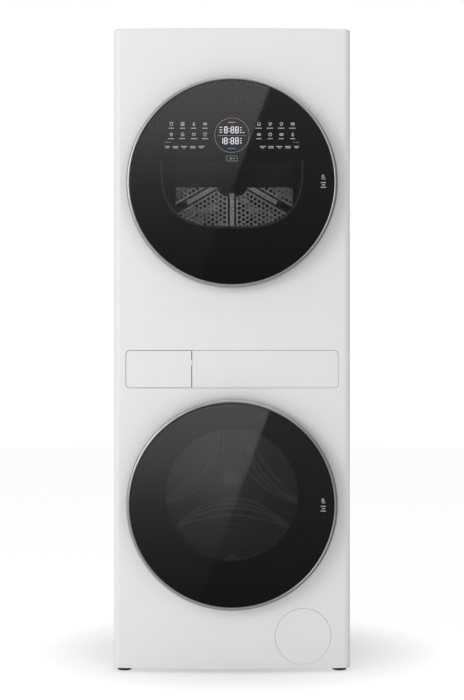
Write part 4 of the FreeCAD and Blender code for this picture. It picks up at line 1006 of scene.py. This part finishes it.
def icon(kind, cx, cz, s):
    """Generic laundry pictograms about 10 mm across, drawn as thin lines."""
    drum = circle(cx, cz - s * 0.1, s * 0.42, 20)
    case = rounded(cx, cz, s * 1.6, s * 1.8, s * 0.3, 3)
    waves = [[(cx + s * (k / 6 - 1), cz + s * row + s * 0.14 * math.sin(k * 1.1)) for k in range(13)]
             for row in (-0.5, 0.0, 0.5)]
    hands = [(cx, cz + s * 0.5), (cx, cz), (cx + s * 0.4, cz)]
    drawn = [
        lambda: [outlined(scaled(SHIRT, cx, cz, s))],
        lambda: [outlined(blob(cx, cz, s * 0.85, 3, 0.16, 0.5)), mark(circle(cx, cz, s * 0.2, 12))],
        lambda: [outlined(circle(cx, cz, s * 0.85, 28)), stroke_mark(hands)],
        lambda: [outlined(case), outlined(drum)],
        lambda: [outlined(scaled(TROUSERS, cx, cz, s))],
        lambda: [stroke_mark(wave) for wave in waves],
        lambda: [outlined(drop(cx, cz, s)), mark(circle(cx, cz - s * 0.3, s * 0.2, 12))],
        lambda: [outlined(scaled(HEART, cx, cz, s))],
        lambda: [outlined(blob(cx, cz, s * 0.85, 5, 0.14, 0.3))],
        lambda: [outlined(rounded(cx, cz, s * 1.9, s * 1.1, s * 0.3, 3)), stroke_mark(waves[1])],
    ]
    return drawn[kind % len(drawn)]()


def dashes(cx, cz, width, height, seed):
    """A row of short dashes where the real panel has a word."""
    pieces = []
    gap = 0.7 * MM
    cursor = cx - width / 2
    k = seed
    while cursor < cx + width / 2 - 1 * MM:
        step = (1.5 + 0.5 * (k * 7 % 3)) * MM
        pieces.append(mark(rounded(cursor + step / 2, cz, step, height, 0.25 * MM, 1)))
        cursor += step + gap
        k += 1
    return pieces


PRESS_X = 229 * MM
PRESS_SIZE = 5 * MM
FINGER = [(-0.5, -0.6), (-0.9, 0.0), (-0.55, 0.1), (-0.3, -0.15), (-0.2, 0.9), (0.1, 0.9), (0.2, 0.1),
          (0.85, -0.1), (0.7, -0.9), (-0.3, -0.9)]
PRESS_ARC = [(-0.9, 0.6), (-0.72, 1.1), (-0.12, 1.32), (0.4, 1.0)]


def press_mark(machine, z_offset):
    """Fingertip sign with three rows of dashes under it, where the door is pressed to open it."""
    cz = GLASS[machine].z + z_offset
    marks = [outlined(scaled(FINGER, PRESS_X, cz, PRESS_SIZE)),
             stroke_mark(scaled(PRESS_ARC, PRESS_X, cz, PRESS_SIZE))]
    for k, width in enumerate((13, 7, 13)):
        marks += dashes(PRESS_X, cz - (12.5 + 5.9 * k) * MM, width * MM, 2.2 * MM, k)
    joined_piece(machine + "_press_mark", marks, "white_print_painted_glow", machine + "_door")


ICON_X, ICON_STEP = 152.1, 28.2              # outermost icon and the step inwards, in mm
OPTION_X, OPTION_STEP = 162.0, 21.3
ICON_ROWS = ((144.8, 134.3), (118.6, 108.0))    # heights of icons and labels over the glass's middle
OPTION_ROWS = (88.6, 85.0)
DOT_ROW = 99.0


def program_print():
    """Two blocks of icons with dashes for labels, and a bottom row of option labels."""
    base = GLASS[DRYER].z
    marks = []
    for row, (icon_z, label_z) in enumerate(ICON_ROWS):
        for side in (-1, 1):
            for k in range(4):
                cx = side * (ICON_X - ICON_STEP * k) * MM
                kind = 3 * k + row + (5 if side > 0 else 0)
                marks += icon(kind, cx, base + icon_z * MM, 4.6 * MM)
                marks += dashes(cx, base + label_z * MM, (13 + kind % 3 * 2) * MM, 2.0 * MM, kind)
    for side in (-1, 1):
        for k in range(5):
            cx = side * (OPTION_X - OPTION_STEP * k) * MM
            marks += dashes(cx, base + OPTION_ROWS[0] * MM, (13 + k % 3 * 2) * MM, 1.9 * MM, k)
            marks += dashes(cx, base + OPTION_ROWS[1] * MM, (8 + k % 2 * 5) * MM, 1.9 * MM, k + 2)
        for k in range(3):
            dot_x = side * 161.0 - 5.5 + 5.5 * k
            marks.append(mark(circle(dot_x * MM, base + DOT_ROW * MM, 0.9 * MM, 10)))
    joined_piece("dryer_program_print", marks, "white_print_painted_glow", "dryer_door")


def bars(places):
    """Bars from a list of places and sizes in mm, heights counted from the middle of the upper glass."""
    return [bar(x * MM, GLASS[DRYER].z + z * MM, width * MM, height * MM) for x, z, width, height in places]


DIVIDER_Z = 115.8
SIDE_DASHES = [(-28, z, 7, 1.5) for z in (136.5, 130.0, 124.0)]
SIDE_DOTS = [(22, z, 4, 2) for z in (136, 130, 123.5, 108.5, 102.5, 97)] + [(29, 123.5, 4, 2)]


def display():
    """Round lit display with two rows of figures, a divider and coloured end marks."""
    base = GLASS[DRYER].z
    new_object("dryer_display_ring", ring_mark(0, base + 116.6 * MM, 43.9 * MM, 1.2 * MM, 96), "grey_print_painted_glow",
               "dryer_door", smooth=False)
    lit = figures("8:88", -21 * MM, 18 * MM, base + 121.5 * MM, base + 138.5 * MM)
    lit += figures("18:88", -27 * MM, 18 * MM, base + 94 * MM, base + 111 * MM)
    joined_piece("dryer_display_figures", lit + bars(SIDE_DASHES + SIDE_DOTS), "lit_white", "dryer_door")
    warm = dashes(0, base + 148.9 * MM, 19 * MM, 2.4 * MM, 1) + bars([(-25, DIVIDER_Z, 22, 1.0)])
    joined_piece("dryer_display_warm", warm, "lit_orange", "dryer_door")
    cool = dashes(0, base + 83.2 * MM, 20 * MM, 2.4 * MM, 2) + bars([(24, DIVIDER_Z, 22, 1.0)])
    joined_piece("dryer_display_cool", cool, "lit_blue", "dryer_door")
    key_z = 58.4
    key_frame = mark(rounded(0, base + key_z * MM, 28 * MM, 14 * MM, 3 * MM),
                     [rounded(0, base + key_z * MM, 25.6 * MM, 11.6 * MM, 2 * MM)])
    plain = bars([(0, DIVIDER_Z, 26, 1.0), (-3.4, key_z, 5, 5), (4.4, key_z, 6, 3)])
    joined_piece("dryer_display_frame", plain + [key_frame], "grey_print_painted_glow", "dryer_door")


program_print()
display()
press_mark(DRYER, 10.5 * MM)
press_mark(WASHER, 10 * MM)


# ---- stage, light and world ----------------------------------------------------------
FLOOR_RINGS = (1.2, 2.5, 5.0, 9.0)


def make_floor():
    """Pale glowing floor with painted shade: its glow is dimmer under the cabinet than where it meets the
    white surroundings.
    """
    steps = 64
    vertices = [(0.0, 0.0, 0.0)]
    for radius in FLOOR_RINGS:
        vertices += [(px, py, 0.0) for px, py in circle(0, 0, radius, steps)]
    faces = [[0, 1 + k, 1 + (k + 1) % steps] for k in range(steps)]
    for ring in range(len(FLOOR_RINGS) - 1):
        a = 1 + ring * steps
        for k in range(steps):
            n = (k + 1) % steps
            faces.append([a + k, a + steps + k, a + steps + n, a + n])
    floor = bpy.data.objects.new("floor", mesh_of("floor", vertices, faces))
    bpy.context.scene.collection.objects.link(floor)
    m = Nodes("floor_paint")
    tone = m.ramp(m.noise(30.0, 3.0), [(0.3, (0.345,) * 3), (0.7, (0.355,) * 3)])
    m.link(tone, m.shader.inputs["Base Color"])
    m.set(Roughness=0.75, Specular_IOR_Level=0.1, Emission_Color=(1, 1, 1, 1))
    length = m.add("VectorMath")
    length.operation = "LENGTH"
    m.link(m.add("TexCoord").outputs["Object"], length.inputs[0])
    # painted shade: the glow falls from 0.82 out in the open to 0.50 under the cabinet
    glow = m.spread(length.outputs["Value"], (0.28, 0.58), (0.50, 0.82))
    m.link(glow, m.shader.inputs["Emission Strength"])
    floor.data.materials.append(m.material)
    floor.visible_glossy = False


def make_world():
    """White to the eye; as a light source dimmer, and dimmer still from the right."""
    world = bpy.data.worlds.new("world")
    bpy.context.scene.world = world
    world.use_nodes = True
    tree = world.node_tree
    background = tree.nodes["Background"]
    background.inputs["Color"].default_value = (1, 1, 1, 1)
    place = tree.nodes.new("ShaderNodeTexCoord")
    split = tree.nodes.new("ShaderNodeSeparateXYZ")
    across = tree.nodes.new("ShaderNodeMapRange")
    for key, value in (("From Min", -0.7), ("From Max", 0.8), ("To Min", 0.56), ("To Max", 0.20)):
        across.inputs[key].default_value = value
    path = tree.nodes.new("ShaderNodeLightPath")
    strength = tree.nodes.new("ShaderNodeMapRange")
    strength.inputs["To Max"].default_value = 1.0
    for source, target in ((place.outputs["Generated"], split.inputs["Vector"]),
                           (split.outputs["X"], across.inputs["Value"]),
                           (across.outputs["Result"], strength.inputs["To Min"]),
                           (path.outputs["Is Camera Ray"], strength.inputs["Value"]),
                           (strength.outputs["Result"], background.inputs["Strength"])):
        tree.links.new(source, target)


def soft_light(name, place, target, size, power):
    data = bpy.data.lights.new(name, "AREA")
    data.shape = "RECTANGLE"
    data.size, data.size_y = size
    data.energy = power
    light = bpy.data.objects.new(name, data)
    light.location = place
    light.rotation_euler = (Vector(target) - Vector(place)).to_track_quat("-Z", "Y").to_euler()
    bpy.context.scene.collection.objects.link(light)


CARD_STRENGTH = 1.7
CARD_AHEAD = 1.0                # metres in front of the glass
CARD_RIGHT = [(0.0, 0.08), (0.35, 0.14), (0.7, 0.20), (1.0, 0.28)]      # height and tone
CARD_LEFT = [(0.0, 0.08), (0.3, 0.20), (0.5, 0.34), (0.75, 0.72), (1.0, 1.0)]
CARD_EDGE_SLANT = 0.37
CARD_EDGE_X = 0.008
CARD_EDGE_SHARPNESS = 400.0


def card_paint(name, card_z, radius, scale):
    """Glowing gradient from bottom to top, with other tones left of a slanting edge."""
    m = Nodes(name)
    split = m.add("SeparateXYZ")
    m.link(m.add("TexCoord").outputs["Object"], split.inputs["Vector"])
    rise = m.maths("SUBTRACT", split.outputs["Z"], card_z)
    height = m.maths("ADD", m.maths("DIVIDE", rise, 2 * radius), 0.5)
    across = m.maths("SUBTRACT", m.maths("DIVIDE", split.outputs["X"], scale), CARD_EDGE_X)
    slant = m.maths("MULTIPLY", m.maths("DIVIDE", rise, scale), CARD_EDGE_SLANT)
    side = m.maths("MULTIPLY", m.maths("SUBTRACT", slant, across), CARD_EDGE_SHARPNESS)
    side = m.maths("MINIMUM", m.maths("MAXIMUM", side, 0.0), 1.0)
    mix = m.add("Mix")
    mix.data_type = "RGBA"
    m.link(side, mix.inputs["Factor"])
    m.link(m.ramp(height, [(spot, (tone,) * 3) for spot, tone in CARD_RIGHT]), mix.inputs["A"])
    m.link(m.ramp(height, [(spot, (tone,) * 3) for spot, tone in CARD_LEFT]), mix.inputs["B"])
    emission = m.add("Emission")
    emission.inputs["Strength"].default_value = CARD_STRENGTH
    m.link(mix.outputs["Result"], emission.inputs["Color"])
    m.link(emission.outputs["Emission"], m.tree.nodes["Material Output"].inputs["Surface"])
    m.tree.nodes.remove(m.shader)
    return m.material


def gloss_card(machine):
    """Studio card seen only in the glass: it fills the pane as seen from straight in front."""
    eye_y, eye_z = CAMERA_PLACE[1:]
    scale = 1 + CARD_AHEAD / (GLASS_FRONT - eye_y)
    card_z = GLASS[machine].z + (GLASS[machine].z - eye_z) * (scale - 1)
    radius = 1.06 * GLASS_R * scale
    name = machine + "_card"
    mesh = flat_shape(name, [circle(0, card_z, radius, 64)], GLASS_FRONT - CARD_AHEAD, 1 * MM)
    mesh.materials.append(card_paint(name, card_z, radius, scale))
    card = bpy.data.objects.new(name, mesh)
    bpy.context.scene.collection.objects.link(card)
    card.visible_camera = False
    card.visible_diffuse = False
    card.visible_shadow = False
    card.visible_transmission = False


make_floor()
make_world()
# name, place, target, size in metres and watts
soft_light("key", (-2.6, -3.2, 1.9), (0, 0, 0.62), (2.0, 2.4), 42.5)
soft_light("fill", (1.3, -3.4, 3.0), (0, 0, 0.8), (1.4, 1.4), 12)
soft_light("top", (0.3, -0.6, 3.4), (0, 0, 0.9), (2.2, 1.6), 13)
soft_light("dryer_lamp", (0, -0.20, DRYER_AXIS.z - 0.05), (0, 0.2, DRYER_AXIS.z - 0.06), (0.24, 0.05), 0.75)
soft_light("washer_lamp", (-0.03, -0.12, WASHER_AXIS.z), (0, 0.19, WASHER_AXIS.z), (0.16, 0.16), 0.29)
for machine_name in (DRYER, WASHER):
    gloss_card(machine_name)
bpy.context.scene.view_settings.view_transform = "Standard"
